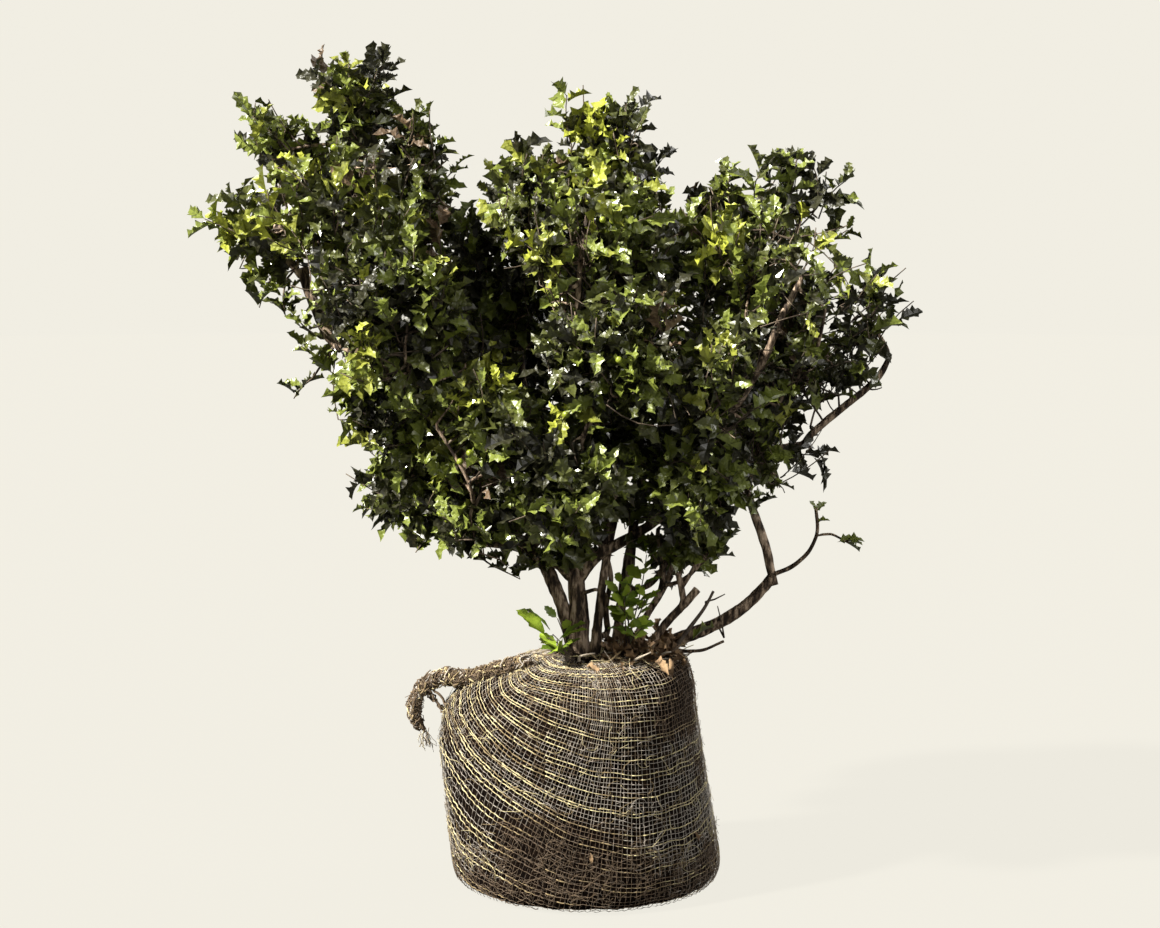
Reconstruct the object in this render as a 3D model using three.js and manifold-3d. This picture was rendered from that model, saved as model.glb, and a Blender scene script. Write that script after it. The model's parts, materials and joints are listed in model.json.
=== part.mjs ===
// A young evergreen holly, dug with its root ball and balled in open netting, ready to plant.
//
// Millimetres, +Z up. The origin is the middle of the flat underside that it stands on. +X is to
// the right of someone who faces the plant, and -Y is towards them.
//
// The plant is built as it grows: a ball of soil in a net sack with a twisted tail, several stems
// that rise from the mouth of the sack, boughs that bend out of them, and a crown of separate
// masses of leaves. A stem or bough ends where it enters a mass.

import * as THREE from "three";
import { mergeVertices } from "three/addons/utils/BufferGeometryUtils.js";
import Module from "manifold-3d";

const wasm = await Module();
wasm.setup();

// Clearance between pieces that touch.
const GAP = 0.35;

// The ball of soil: a squat drum that leans to the left, with a foot pressed flat by its weight,
// shoulders that slope up to the right, and a small flat top where the stems come out.
const BALL = {
  footRadius: 151,
  cornerHeight: 28,
  lowRadius: 168,
  highRadius: 161,
  footCentre: 8,
  lean: -24,
  shoulderHeight: 204,
  shoulderRise: 0.1,
  topHeight: 290,
  topRadius: 72,
  topCentre: 48,
  segments: 22,
  cornerSteps: 2,
  shoulderSteps: 4,
};

const NET_THICKNESS = 1.6;
const NET_MOUTH_RADIUS = 66;

// The cloth left over from the sack is twisted into a rope that lies along the left shoulder,
// humps up beyond it and hangs over the edge.
const TWIST = {
  rollRadius: 10,
  tailRadius: 9.5,
  endRadius: 6,
  sides: 8,
  rollPath: [[-66, -44, 290], [-100, -38, 280]],
  shoulder: [-142, -26, 260],
  tailPath: [[-170, -16, 267], [-196, -10, 254], [-211, -8, 229], [-206, -8, 206], [-193, -10, 190]],
};

const LIMB_SIDES = 8;
const LIMB_STEP = 32;

const FLARE_LENGTH = 30;

// A twig thinner than this has fewer sides.
const TWIG_RADIUS = 4;
const TWIG_SIDES = 6;

// How far a mass of leaves swells and sinks from an even egg shape, as a share of its radius.
const UNEVENNESS = 0.3;
const WAVES = 4;

// Masses larger than this are made of finer facets.
const LARGE_MASS_RADIUS = 70;

const FINISH = {
  soil: { color: 0x33261a, roughness: 1 },
  net: { color: 0x9a8763, roughness: 0.95 },
  bark: { color: 0x6b5a48, roughness: 0.85 },
  deadBark: { color: 0x4c4037, roughness: 0.9 },
  leaf: { color: 0x2b4a20, roughness: 0.45 },
  sprout: { color: 0x6f9a35, roughness: 0.5 },
};

const plant = new THREE.Group();

// ---------------------------------------------------------------- solids and meshes

function solidFromGeometry(geometry) {
  const bare = geometry.clone();
  bare.deleteAttribute("normal");
  bare.deleteAttribute("uv");
  const merged = mergeVertices(bare, 1e-3);
  const mesh = new wasm.Mesh({
    numProp: 3,
    vertProperties: new Float32Array(merged.attributes.position.array),
    triVerts: new Uint32Array(merged.index.array),
  });
  return new wasm.Manifold(mesh);
}

function geometryFromSolid(solid) {
  const { vertProperties, triVerts } = solid.getMesh();
  const geometry = new THREE.BufferGeometry();
  geometry.setAttribute("position", new THREE.BufferAttribute(vertProperties, 3));
  geometry.setIndex(new THREE.BufferAttribute(triVerts, 1));
  geometry.computeVertexNormals();
  return geometry;
}

function largestBody(solid) {
  const bodies = solid.decompose();
  return bodies.reduce((best, body) => (body.volume() > best.volume() ? body : best));
}

function addPiece(name, solid, finish) {
  const material = new THREE.MeshStandardMaterial({ ...finish, metalness: 0 });
  const mesh = new THREE.Mesh(geometryFromSolid(solid), material);
  mesh.name = name;
  plant.add(mesh);
}

// A solid skin over rings of points, all of the same count, with a flat fan over each end.
function solidFromRings(rings) {
  const sides = rings[0].length;
  const points = rings.flat();
  const faces = [];
  for (let ring = 0; ring + 1 < rings.length; ring += 1) {
    for (let side = 0; side < sides; side += 1) {
      const next = (side + 1) % sides;
      const [a, b] = [ring * sides + side, ring * sides + next];
      faces.push(a, b, b + sides, a, b + sides, a + sides);
    }
  }
  const last = (rings.length - 1) * sides;
  for (let side = 1; side + 1 < sides; side += 1) {
    faces.push(0, side + 1, side);
    faces.push(last, last + side, last + side + 1);
  }
  const geometry = new THREE.BufferGeometry().setFromPoints(points);
  geometry.setIndex(faces);
  return solidFromGeometry(geometry);
}

// ---------------------------------------------------------------- root ball

// One ring round the ball. Its height rises to the right by the given slope.
function ballRing({ height, centre, radius, slope }) {
  const ring = [];
  for (let side = 0; side < BALL.segments; side += 1) {
    const angle = (side / BALL.segments) * Math.PI * 2;
    const [along, across] = [Math.cos(angle) * radius, Math.sin(angle) * radius];
    ring.push(new THREE.Vector3(centre + along, across, height + along * slope));
  }
  return ring;
}

// The ball, made larger by a margin everywhere but under its foot.
function ballSolid(margin) {
  const { footRadius, cornerHeight, lowRadius, highRadius, shoulderHeight, topHeight } = BALL;
  const sections = [];
  for (let step = 0; step <= BALL.cornerSteps; step += 1) {
    const turn = ((step / BALL.cornerSteps) * Math.PI) / 2;
    sections.push({
      height: cornerHeight * (1 - Math.cos(turn)),
      centre: BALL.footCentre,
      radius: THREE.MathUtils.lerp(footRadius, lowRadius, Math.sin(turn)) + margin,
      slope: 0,
    });
  }
  for (let step = 0; step <= BALL.shoulderSteps; step += 1) {
    const share = step / BALL.shoulderSteps;
    const turn = (share * Math.PI) / 2;
    const leaning = BALL.footCentre + BALL.lean;
    sections.push({
      height: THREE.MathUtils.lerp(shoulderHeight, topHeight, Math.sin(turn)) + margin * share,
      centre: THREE.MathUtils.lerp(leaning, BALL.topCentre, 1 - Math.cos(turn)),
      radius: THREE.MathUtils.lerp(highRadius, BALL.topRadius, 1 - Math.cos(turn)) + margin,
      slope: BALL.shoulderRise * Math.cos(turn),
    });
  }
  return solidFromRings(sections.map(ballRing));
}

// The open mouth of the sack, where the stems come out.
function mouthSolid(radius) {
  const column = wasm.Manifold.cylinder(BALL.topHeight, radius, radius, 20);
  return column.translate([BALL.topCentre, 0, BALL.topHeight / 2]);
}

// The sack is a thin skin all round the ball, open at its mouth. Under the foot the soil presses
// through the mesh, so soil and net stand on the ground together.
function netSolid() {
  const skin = ballSolid(GAP + NET_THICKNESS).subtract(ballSolid(GAP));
  return skin.subtract(mouthSolid(NET_MOUTH_RADIUS));
}

// The room that ball and sack take up, with clearance, for what lies on them or grows out.
function ballRoom() {
  const sack = ballSolid(GAP + NET_THICKNESS + GAP).subtract(mouthSolid(NET_MOUTH_RADIUS - GAP));
  return sack.add(ballSolid(GAP));
}

// ---------------------------------------------------------------- limbs

// A tapering tube along a smooth path. Its radii are those at the start and the tip, and a flare
// widens the first stretch, as a stem does where it enters the ground.
function tubeSolid({ path, radii, flare = 0, sides }, margin = 0) {
  const sideCount = sides ?? (radii[0] < TWIG_RADIUS ? TWIG_SIDES : LIMB_SIDES);
  const curve = new THREE.CatmullRomCurve3(path.map((point) => new THREE.Vector3(...point)));
  const length = curve.getLength();
  const steps = Math.max(2, Math.ceil(length / LIMB_STEP));
  const frames = curve.computeFrenetFrames(steps, false);
  const rings = [];
  for (let step = 0; step <= steps; step += 1) {
    const share = step / steps;
    const widening = flare * Math.max(0, 1 - (share * length) / FLARE_LENGTH) ** 2;
    const radius = THREE.MathUtils.lerp(radii[0], radii[1], share) + widening + margin;
    const pastEnd = step === 0 ? -margin : step === steps ? margin : 0;
    const centre = curve.getPointAt(share).addScaledVector(frames.tangents[step], pastEnd);
    const ring = [];
    for (let side = 0; side < sideCount; side += 1) {
      const angle = (side / sideCount) * Math.PI * 2;
      const across = frames.normals[step].clone().multiplyScalar(Math.cos(angle) * radius);
      across.addScaledVector(frames.binormals[step], Math.sin(angle) * radius);
      ring.push(centre.clone().add(across));
    }
    rings.push(ring);
  }
  return solidFromRings(rings);
}

// Stems and boughs, each after the one that carries it. A limb starts inside what carries it and
// is cut back to its surface. Heights of stems start just under the ball's flat top.
const ROOTED = BALL.topHeight - 6;
const LIMBS = {
  trunk: {
    path: [[1, -8, ROOTED], [-2, -6, 350], [-5, -4, 405], [-8, 0, 470]],
    radii: [13.5, 10],
    flare: 5,
  },
  left_stem: {
    path: [[-9, -6, 304], [-22, -2, 345], [-38, 4, 392], [-70, 14, 440], [-110, 20, 490]],
    radii: [10, 7.5],
  },
  inner_stem: {
    path: [[18, -22, ROOTED], [22, -26, 330], [27, -24, 375], [36, -16, 432], [48, -10, 500]],
    radii: [6.5, 4.5],
    flare: 3,
  },
  back_stem: {
    path: [[46, 30, ROOTED], [50, 34, 330], [56, 42, 375], [66, 54, 430], [78, 70, 490], [86, 90, 540]],
    radii: [6.5, 5],
    flare: 3,
  },
  right_stem: {
    path: [[64, 0, ROOTED], [76, 2, 325], [104, 8, 370], [122, 12, 402], [134, 16, 450]],
    radii: [5, 3.5],
    flare: 2,
  },
  cut_stem: {
    path: [[80, -24, ROOTED], [96, -28, 322], [122, -32, 350], [148, -36, 381]],
    radii: [6, 5],
    flare: 2,
  },
  cut_stem_arm: {
    path: [[130, -33, 358], [125, -32, 385], [114, -28, 425], [104, -24, 470]],
    radii: [4.5, 3.5],
  },
  low_bough: {
    path: [[92, 8, ROOTED], [116, 4, 306], [162, -4, 324], [214, -8, 357], [240, -6, 388]],
    radii: [9.5, 6.8],
    flare: 4,
  },
  low_bough_rise: {
    path: [[241, -6, 386], [237, -2, 415], [226, 6, 448], [214, 16, 482], [204, 26, 520]],
    radii: [6.2, 4.8],
  },
  low_bough_twig: {
    path: [[240, -8, 392], [276, -22, 411], [292, -30, 438], [297, -34, 460], [292, -36, 478]],
    radii: [3.2, 2],
  },
  low_bough_leaf_twig: {
    path: [[294, -32, 446], [309, -40, 449], [327, -50, 441]],
    radii: [2, 1.4],
  },
  dead_twig: {
    path: [[112, -28, ROOTED + 4], [126, -34, 316], [154, -40, 354], [167, -42, 380]],
    radii: [3.2, 1.8],
  },
  ground_twig: {
    path: [[104, 2, 302], [140, -26, 296], [166, -34, 306], [181, -36, 314]],
    radii: [2.8, 1.8],
  },
  left_skirt_limb: {
    path: [[-52, 8, 412], [-90, 4, 428], [-134, 0, 430], [-176, -4, 446], [-210, -8, 480]],
    radii: [5, 3.2],
  },
  left_bough: {
    path: [[-235, -40, 590], [-290, -52, 664], [-316, -46, 712], [-340, -34, 770], [-352, -24, 820]],
    radii: [6.5, 5],
  },
  far_right_limb: {
    path: [[235, -10, 520], [282, -14, 565], [320, -12, 598], [378, -8, 648], [392, -6, 700]],
    radii: [5.5, 3.6],
  },
};

// ---------------------------------------------------------------- masses of leaves

// The middle of each mass and its half width, half depth and half height.
const MASSES = {
  left_peak: { centre: [-276, -5, 966], half: [66, 78, 86] },
  left_shoulder: { centre: [-366, 10, 926], half: [68, 68, 54] },
  left_tip: { centre: [-388, -15, 820], half: [78, 88, 60] },
  left_crest: { centre: [-206, -25, 898], half: [58, 68, 74] },
  left_upper: { centre: [-282, -72, 846], half: [112, 112, 98] },
  left_middle: { centre: [-222, -150, 732], half: [108, 108, 104] },
  left_sprig: { centre: [-322, -40, 656], half: [50, 46, 30] },
  left_flank: { centre: [-212, -78, 612], half: [92, 112, 88] },
  left_skirt: { centre: [-200, -34, 506], half: [94, 96, 60] },
  left_hem: { centre: [-126, -90, 474], half: [84, 88, 64] },
  left_back_top: { centre: [-252, 124, 840], half: [114, 114, 104] },
  left_back: { centre: [-218, 196, 690], half: [118, 112, 114] },
  left_back_skirt: { centre: [-170, 114, 552], half: [114, 108, 84] },
  centre_peak: { centre: [38, -18, 922], half: [62, 76, 74] },
  centre_crest: { centre: [-66, -30, 852], half: [72, 86, 66] },
  centre_upper: { centre: [14, -114, 800], half: [112, 106, 98] },
  heart: { centre: [-100, 56, 752], half: [108, 110, 112] },
  centre_middle: { centre: [50, -178, 676], half: [110, 108, 102] },
  centre_left: { centre: [-110, -146, 604], half: [98, 108, 94] },
  centre_low: { centre: [-14, -150, 544], half: [100, 104, 80] },
  centre_hem: { centre: [-40, -34, 474], half: [88, 94, 74] },
  centre_back_top: { centre: [-6, 130, 846], half: [118, 112, 96] },
  centre_back: { centre: [2, 236, 704], half: [122, 104, 116] },
  centre_back_low: { centre: [6, 160, 560], half: [118, 120, 92] },
  right_inner_peak: { centre: [162, 0, 834], half: [60, 82, 76] },
  right_peak: { centre: [258, -8, 838], half: [72, 84, 72] },
  right_upper: { centre: [220, -98, 762], half: [112, 108, 92] },
  right_middle: { centre: [154, -172, 654], half: [100, 100, 92] },
  right_side: { centre: [266, -44, 664], half: [92, 104, 84] },
  right_tip: { centre: [356, -5, 716], half: [66, 80, 66] },
  right_flank: { centre: [226, -64, 570], half: [82, 100, 68] },
  right_skirt: { centre: [132, -100, 526], half: [92, 100, 76] },
  right_hem: { centre: [128, 4, 456], half: [70, 72, 68] },
  right_back_top: { centre: [208, 122, 796], half: [114, 108, 96] },
  right_back: { centre: [222, 190, 662], half: [112, 108, 108] },
  right_back_skirt: { centre: [164, 112, 540], half: [110, 108, 78] },
};

// Fresh shoots from the foot of the stems.
const SPROUTS = {
  left_sprout: { centre: [-50, -34, 316], half: [32, 24, 34] },
  right_sprout: { centre: [60, -50, 352], half: [26, 26, 70] },
};

// A repeatable stream of numbers from 0 to 1.
function randomStream(seed) {
  let state = seed;
  return () => {
    state = (Math.imul(state, 1664525) + 1013904223) >>> 0;
    return state / 2 ** 32;
  };
}

// Slow waves over the sphere of directions, which make each mass swell its own way.
function wavesFor(seed) {
  const random = randomStream(seed);
  const waves = [];
  for (let index = 0; index < WAVES; index += 1) {
    const axis = new THREE.Vector3(random() - 0.5, random() - 0.5, random() - 0.5).normalize();
    waves.push({ axis, pace: 2.5 + 4 * random(), phase: random() * Math.PI * 2 });
  }
  return waves;
}

// How far the mass's surface lies from its middle in a direction.
function reach(mass, direction) {
  const [x, y, z] = mass.half;
  const even = 1 / Math.hypot(direction.x / x, direction.y / y, direction.z / z);
  const swell = mass.waves.reduce(
    (sum, wave) => sum + Math.cos(wave.pace * direction.dot(wave.axis) + wave.phase),
    0,
  );
  return even * (1 + (UNEVENNESS * swell) / WAVES);
}

// The mass on its own, before its neighbours press on it.
function freeMassSolid(mass, margin) {
  const detail = Math.max(...mass.half) > LARGE_MASS_RADIUS ? 3 : 2;
  const geometry = new THREE.OctahedronGeometry(1, detail);
  const position = geometry.getAttribute("position");
  const direction = new THREE.Vector3();
  for (let index = 0; index < position.count; index += 1) {
    direction.fromBufferAttribute(position, index).normalize();
    const point = direction.clone().multiplyScalar(reach(mass, direction) + margin);
    point.add(mass.middle);
    position.setXYZ(index, point.x, point.y, point.z);
  }
  return solidFromGeometry(geometry);
}

// Where two masses press on each other they share a flat face, nearer to the smaller one.
function pressTogether(a, b) {
  const between = b.middle.clone().sub(a.middle);
  const distance = between.length();
  const towardsB = between.normalize();
  const reachA = reach(a, towardsB);
  const reachB = reach(b, towardsB.clone().negate());
  const even = (distance ** 2 + reachA ** 2 - reachB ** 2) / (2 * distance);
  const share = THREE.MathUtils.clamp(even, distance * 0.25, distance * 0.75);
  const face = a.middle.dot(towardsB) + share;
  a.faces.push({ normal: towardsB.clone().negate(), offset: -face });
  b.faces.push({ normal: towardsB, offset: face });
}

function massSolid(mass, margin) {
  return mass.faces.reduce(
    (solid, { normal, offset }) => solid.trimByPlane(normal.toArray(), offset + GAP / 2 - margin),
    freeMassSolid(mass, margin),
  );
}

function settledMasses(sizes) {
  const masses = Object.entries(sizes).map(([name, size], index) => ({
    name,
    half: size.half,
    middle: new THREE.Vector3(...size.centre),
    waves: wavesFor(index + 1),
    faces: [],
  }));
  const free = masses.map((mass) => freeMassSolid(mass, GAP));
  masses.forEach((mass, index) => {
    for (let other = index + 1; other < masses.length; other += 1) {
      if (!free[index].intersect(free[other]).isEmpty()) pressTogether(mass, masses[other]);
    }
  });
  return masses;
}

// ---------------------------------------------------------------- assembly

const groundRoom = ballRoom();
const masses = settledMasses(MASSES);
const massRoom = wasm.Manifold.union(masses.map((mass) => massSolid(mass, GAP)));

function addRootBall() {
  addPiece("soil_ball", ballSolid(0), FINISH.soil);
  addPiece("net_sack", netSolid(), FINISH.net);
}

// The twisted cloth: a roll that lies on the sack's left shoulder, and a tail that humps off it.
function addTwistedCloth() {
  const { shoulder, rollPath, tailPath, rollRadius, tailRadius, endRadius, sides } = TWIST;
  const roll = { path: [...rollPath, shoulder], radii: [endRadius, rollRadius], sides };
  const tail = { path: [shoulder, ...tailPath], radii: [tailRadius, endRadius], sides };
  const tailOnSack = tubeSolid(tail).subtract(groundRoom);
  addPiece("net_roll", largestBody(tubeSolid(roll).subtract(groundRoom)), FINISH.net);
  addPiece("net_tail", largestBody(tailOnSack.subtract(tubeSolid(roll, GAP))), FINISH.net);
}

// Each limb is cut back to the ground, to the limbs before it and to the masses that it enters.
function addLimbs() {
  let takenRoom = groundRoom.add(massRoom);
  for (const [name, limb] of Object.entries(LIMBS)) {
    const finish = name === "dead_twig" ? FINISH.deadBark : FINISH.bark;
    addPiece(name, largestBody(tubeSolid(limb).subtract(takenRoom)), finish);
    takenRoom = takenRoom.add(tubeSolid(limb, GAP));
  }
}

function addMasses() {
  masses.forEach((mass) => addPiece(mass.name, massSolid(mass, 0), FINISH.leaf));
}

// A sprout springs from the top of the ball, round the feet of the stems.
function addSprouts() {
  const limbRoom = wasm.Manifold.union(Object.values(LIMBS).map((limb) => tubeSolid(limb, GAP)));
  for (const sprout of settledMasses(SPROUTS)) {
    const solid = massSolid(sprout, 0).subtract(groundRoom);
    addPiece(sprout.name, largestBody(solid.subtract(limbRoom)), FINISH.sprout);
  }
}

addRootBall();
addTwistedCloth();
addLimbs();
addMasses();
addSprouts();

export default plant;
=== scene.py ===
import json
import math

import bpy
import numpy as np
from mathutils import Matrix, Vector
from mathutils.bvhtree import BVHTree


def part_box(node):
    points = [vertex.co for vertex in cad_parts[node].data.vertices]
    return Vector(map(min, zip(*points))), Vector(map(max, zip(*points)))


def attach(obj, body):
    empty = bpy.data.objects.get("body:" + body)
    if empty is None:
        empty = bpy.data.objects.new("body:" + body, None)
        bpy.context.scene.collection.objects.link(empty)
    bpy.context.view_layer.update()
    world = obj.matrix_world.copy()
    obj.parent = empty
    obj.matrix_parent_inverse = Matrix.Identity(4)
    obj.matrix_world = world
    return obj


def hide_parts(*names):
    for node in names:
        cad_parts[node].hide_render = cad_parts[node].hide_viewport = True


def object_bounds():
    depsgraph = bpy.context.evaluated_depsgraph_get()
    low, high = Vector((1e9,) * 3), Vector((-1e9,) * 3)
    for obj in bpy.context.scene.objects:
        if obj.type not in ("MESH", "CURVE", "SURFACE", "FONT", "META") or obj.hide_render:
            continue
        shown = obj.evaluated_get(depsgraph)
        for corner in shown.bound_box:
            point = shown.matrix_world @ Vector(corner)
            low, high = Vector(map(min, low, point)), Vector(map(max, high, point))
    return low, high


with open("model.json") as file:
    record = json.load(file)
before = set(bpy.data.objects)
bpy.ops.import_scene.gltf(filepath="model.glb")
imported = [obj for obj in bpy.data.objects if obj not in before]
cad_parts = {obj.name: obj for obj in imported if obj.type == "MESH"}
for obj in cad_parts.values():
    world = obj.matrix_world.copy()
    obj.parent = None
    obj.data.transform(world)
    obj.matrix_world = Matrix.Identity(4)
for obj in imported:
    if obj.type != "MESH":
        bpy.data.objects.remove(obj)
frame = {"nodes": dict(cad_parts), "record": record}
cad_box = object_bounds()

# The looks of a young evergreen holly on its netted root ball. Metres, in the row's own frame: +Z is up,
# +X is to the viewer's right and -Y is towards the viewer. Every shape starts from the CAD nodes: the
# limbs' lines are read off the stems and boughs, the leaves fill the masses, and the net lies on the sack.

MM = 0.001
SEED = 20
BODY = "root"
SLOT_OF = {row["node"]: row["material_slot"] for row in frame["record"]["subparts"]}
MASSES = [name for name, slot in SLOT_OF.items() if slot == "leaf"]
LIMBS = [name for name, slot in SLOT_OF.items() if slot in ("bark", "dead_bark")]


# ------------------------------------------------------------------ numbers and vectors

def unit(vectors):
    """The vectors, one to a row, each made one long."""
    length = np.linalg.norm(vectors, axis=-1, keepdims=True)
    return vectors / np.maximum(length, 1e-12)


def node_arrays(name):
    """A CAD node's corner points and triangles."""
    mesh = frame["nodes"][name].data
    mesh.calc_loop_triangles()
    points = np.empty(len(mesh.vertices) * 3)
    mesh.vertices.foreach_get("co", points)
    faces = np.empty(len(mesh.loop_triangles) * 3, dtype=np.int32)
    mesh.loop_triangles.foreach_get("vertices", faces)
    return points.reshape(-1, 3), faces.reshape(-1, 3)


def tree_of(names):
    """A search tree over the surfaces of several CAD nodes."""
    points, faces, start = [], [], 0
    for name in names:
        node_points, node_faces = node_arrays(name)
        points.append(node_points)
        faces.append(node_faces + start)
        start += len(node_points)
    return BVHTree.FromPolygons(np.vstack(points).tolist(), np.vstack(faces).tolist())


def smooth_noise(points, scale, seed):
    """Slow waves from -1 to 1 through space, about scale metres from crest to crest."""
    rng = np.random.default_rng(seed)
    total = np.zeros(points.shape[:-1])
    for _ in range(5):
        direction = unit(rng.normal(size=3))
        pace = 2 * math.pi / scale * rng.uniform(0.6, 1.5)
        total += np.sin(points @ direction * pace + rng.uniform(0, 2 * math.pi))
    return total / 3


def resample(line, step):
    """Points at even steps along a polyline, its ends kept."""
    gaps = np.linalg.norm(np.diff(line, axis=0), axis=1)
    along = np.concatenate([[0], np.cumsum(gaps)])
    count = max(3, int(round(along[-1] / step)) + 1)
    places = np.linspace(0, along[-1], count)
    return np.stack([np.interp(places, along, line[:, axis]) for axis in range(line.shape[1])], axis=1)


def rounded(line, passes=2):
    """A polyline with its corners cut, its ends kept."""
    for _ in range(passes):
        near = line[:-1] * 0.75 + line[1:] * 0.25
        far = line[:-1] * 0.25 + line[1:] * 0.75
        middle = np.stack([near, far], axis=1).reshape(-1, line.shape[1])
        line = np.vstack([line[:1], middle[1:-1], line[-1:]])
    return line


# ------------------------------------------------------------------ meshes

def ring_walls(index):
    """Triangles between neighbouring rings of point numbers: index is (tubes, rings, sides)."""
    turned = np.roll(index, -1, axis=2)
    a, b = index[:, :-1], turned[:, :-1]
    c, d = turned[:, 1:], index[:, 1:]
    return np.stack([np.stack([a, b, c], -1), np.stack([a, c, d], -1)], -2).reshape(-1, 3)


def circle(first, second, sides):
    """Directions round a circle in the plane of each pair of vectors."""
    angle = np.arange(sides) / sides * 2 * math.pi
    return first[..., None, :] * np.cos(angle)[:, None] + second[..., None, :] * np.sin(angle)[:, None]


class Surface:
    """Points and triangles that are gathered up into one piece."""

    def __init__(self):
        self.points = []
        self.faces = []
        self.count = 0

    def add(self, points, faces):
        """Points with the triangles that count them from 0."""
        self.points.append(points.reshape(-1, 3))
        self.faces.append(faces.reshape(-1, 3) + self.count)
        self.count += len(self.points[-1])

    def add_rings(self, points):
        """Closed tubes from their rings of points: (tubes, rings, sides, 3)."""
        index = np.arange(points[..., 0].size).reshape(points.shape[:3])
        start, end = index[:, 0], index[:, -1]
        faces = [ring_walls(index)]
        for side in range(1, index.shape[2] - 1):
            faces.append(np.stack([start[:, 0], start[:, side + 1], start[:, side]], -1))
            faces.append(np.stack([end[:, 0], end[:, side], end[:, side + 1]], -1))
        self.add(points, np.concatenate(faces))

    def add_tubes(self, lines, radii, sides):
        """Closed tubes of equal counts of points: lines is (tubes, points, 3), radii (tubes, points)."""
        forward = unit(np.gradient(lines, axis=1))
        chord = unit(lines[:, -1] - lines[:, 0])
        helper = np.where(np.abs(chord[:, 2:]) < 0.8, [[0, 0, 1.0]], [[1.0, 0, 0]])[:, None]
        first = unit(helper - forward * np.sum(helper * forward, axis=-1, keepdims=True))
        ring = circle(first, np.cross(forward, first), sides)
        self.add_rings(lines[:, :, None] + ring * radii[:, :, None, None])

    def add_tube(self, line, radii, sides):
        """One closed tube along a line, of one radius or of one for each point."""
        radii = np.broadcast_to(np.asarray(radii, dtype=float), (len(line),))
        self.add_tubes(line[None], radii[None], sides)

    def piece(self, name, material, slot, replaced=(), smooth=True):
        """The gathered surface as a Blender object that rides on the plant."""
        points, faces = np.vstack(self.points), np.vstack(self.faces)
        mesh = bpy.data.meshes.new(name)
        mesh.vertices.add(len(points))
        mesh.vertices.foreach_set("co", points.astype(np.float32).ravel())
        mesh.loops.add(faces.size)
        mesh.loops.foreach_set("vertex_index", faces.astype(np.int32).ravel())
        mesh.polygons.add(len(faces))
        mesh.polygons.foreach_set("loop_start", np.arange(0, faces.size, 3, dtype=np.int32))
        mesh.polygons.foreach_set("use_smooth", np.full(len(faces), smooth))
        mesh.update(calc_edges=True)
        mesh.validate()
        mesh.materials.append(material)
        piece = bpy.data.objects.new(name, mesh)
        bpy.context.scene.collection.objects.link(piece)
        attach(piece, BODY)
        if replaced:
            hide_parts(*replaced)


# ------------------------------------------------------------------ materials

def new_material(name, roughness, specular=0.5):
    """A material, its node tree and its shader."""
    material = bpy.data.materials.new(name)
    material.use_nodes = True
    tree = material.node_tree
    shader = tree.nodes["Principled BSDF"]
    shader.inputs["Roughness"].default_value = roughness
    shader.inputs["Specular IOR Level"].default_value = specular
    return material, tree, shader


def noise_node(tree, scale, detail=4.0, grain=1.0):
    """Noise in the piece's own space. A grain under 1 draws it out upwards."""
    coordinates = tree.nodes.new("ShaderNodeTexCoord")
    mapping = tree.nodes.new("ShaderNodeMapping")
    mapping.inputs["Scale"].default_value = (1.0, 1.0, grain)
    noise = tree.nodes.new("ShaderNodeTexNoise")
    noise.inputs["Scale"].default_value = scale
    noise.inputs["Detail"].default_value = detail
    noise.inputs["Roughness"].default_value = 0.6
    tree.links.new(coordinates.outputs["Object"], mapping.inputs["Vector"])
    tree.links.new(mapping.outputs["Vector"], noise.inputs["Vector"])
    return noise.outputs["Fac"]


def add_bump(tree, shader, height, distance):
    """Relief of this depth where the height goes from 0 to 1."""
    bump = tree.nodes.new("ShaderNodeBump")
    bump.inputs["Strength"].default_value = 1.0
    bump.inputs["Distance"].default_value = distance
    tree.links.new(height, bump.inputs["Height"])
    tree.links.new(bump.outputs["Normal"], shader.inputs["Normal"])


def add_colours(tree, shader, height, stops):
    """A base colour that follows the height from stop to stop."""
    ramp = tree.nodes.new("ShaderNodeValToRGB")
    elements = ramp.color_ramp.elements
    while len(elements) < len(stops):
        elements.new(0.5)
    for element, (place, colour) in zip(elements, stops):
        element.position = place
        element.color = (*colour, 1.0)
    tree.links.new(height, ramp.inputs["Fac"])
    tree.links.new(ramp.outputs["Color"], shader.inputs["Base Color"])


def mottled_material(name, stops, scale, roughness, relief_scale, relief, specular=0.3, grain=1.0):
    """A colour that wanders between a few stops, with a finer relief."""
    material, tree, shader = new_material(name, roughness, specular)
    add_colours(tree, shader, noise_node(tree, scale, grain=grain), stops)
    add_bump(tree, shader, noise_node(tree, relief_scale, grain=grain), relief)
    return material


def leaf_material(name, colour, roughness, coat, relief=3.5 * MM):
    """A waxy leaf in one plain colour, with faint dimples that break up its gloss."""
    material, tree, shader = new_material(name, roughness)
    shader.inputs["Base Color"].default_value = (*colour, 1.0)
    shader.inputs["Coat Weight"].default_value = coat
    shader.inputs["Coat Roughness"].default_value = 0.22
    add_bump(tree, shader, noise_node(tree, 130.0, 1.0), relief)
    return material


BARK_STOPS = [(0.42, (0.028, 0.018, 0.012)), (0.51, (0.16, 0.112, 0.074)), (0.61, (0.5, 0.38, 0.27))]
TWIG_STOPS = [(0.35, (0.035, 0.024, 0.016)), (0.55, (0.11, 0.082, 0.056)), (0.7, (0.27, 0.215, 0.155))]
DEAD_BARK_STOPS = [(0.35, (0.05, 0.038, 0.03)), (0.65, (0.17, 0.135, 0.105))]
SOIL_STOPS = [(0.35, (0.003, 0.0018, 0.0012)), (0.6, (0.009, 0.0052, 0.0033)), (0.75, (0.028, 0.018, 0.011))]
LITTER_STOPS = [(0.35, (0.1, 0.062, 0.035)), (0.65, (0.34, 0.225, 0.12))]


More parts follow.
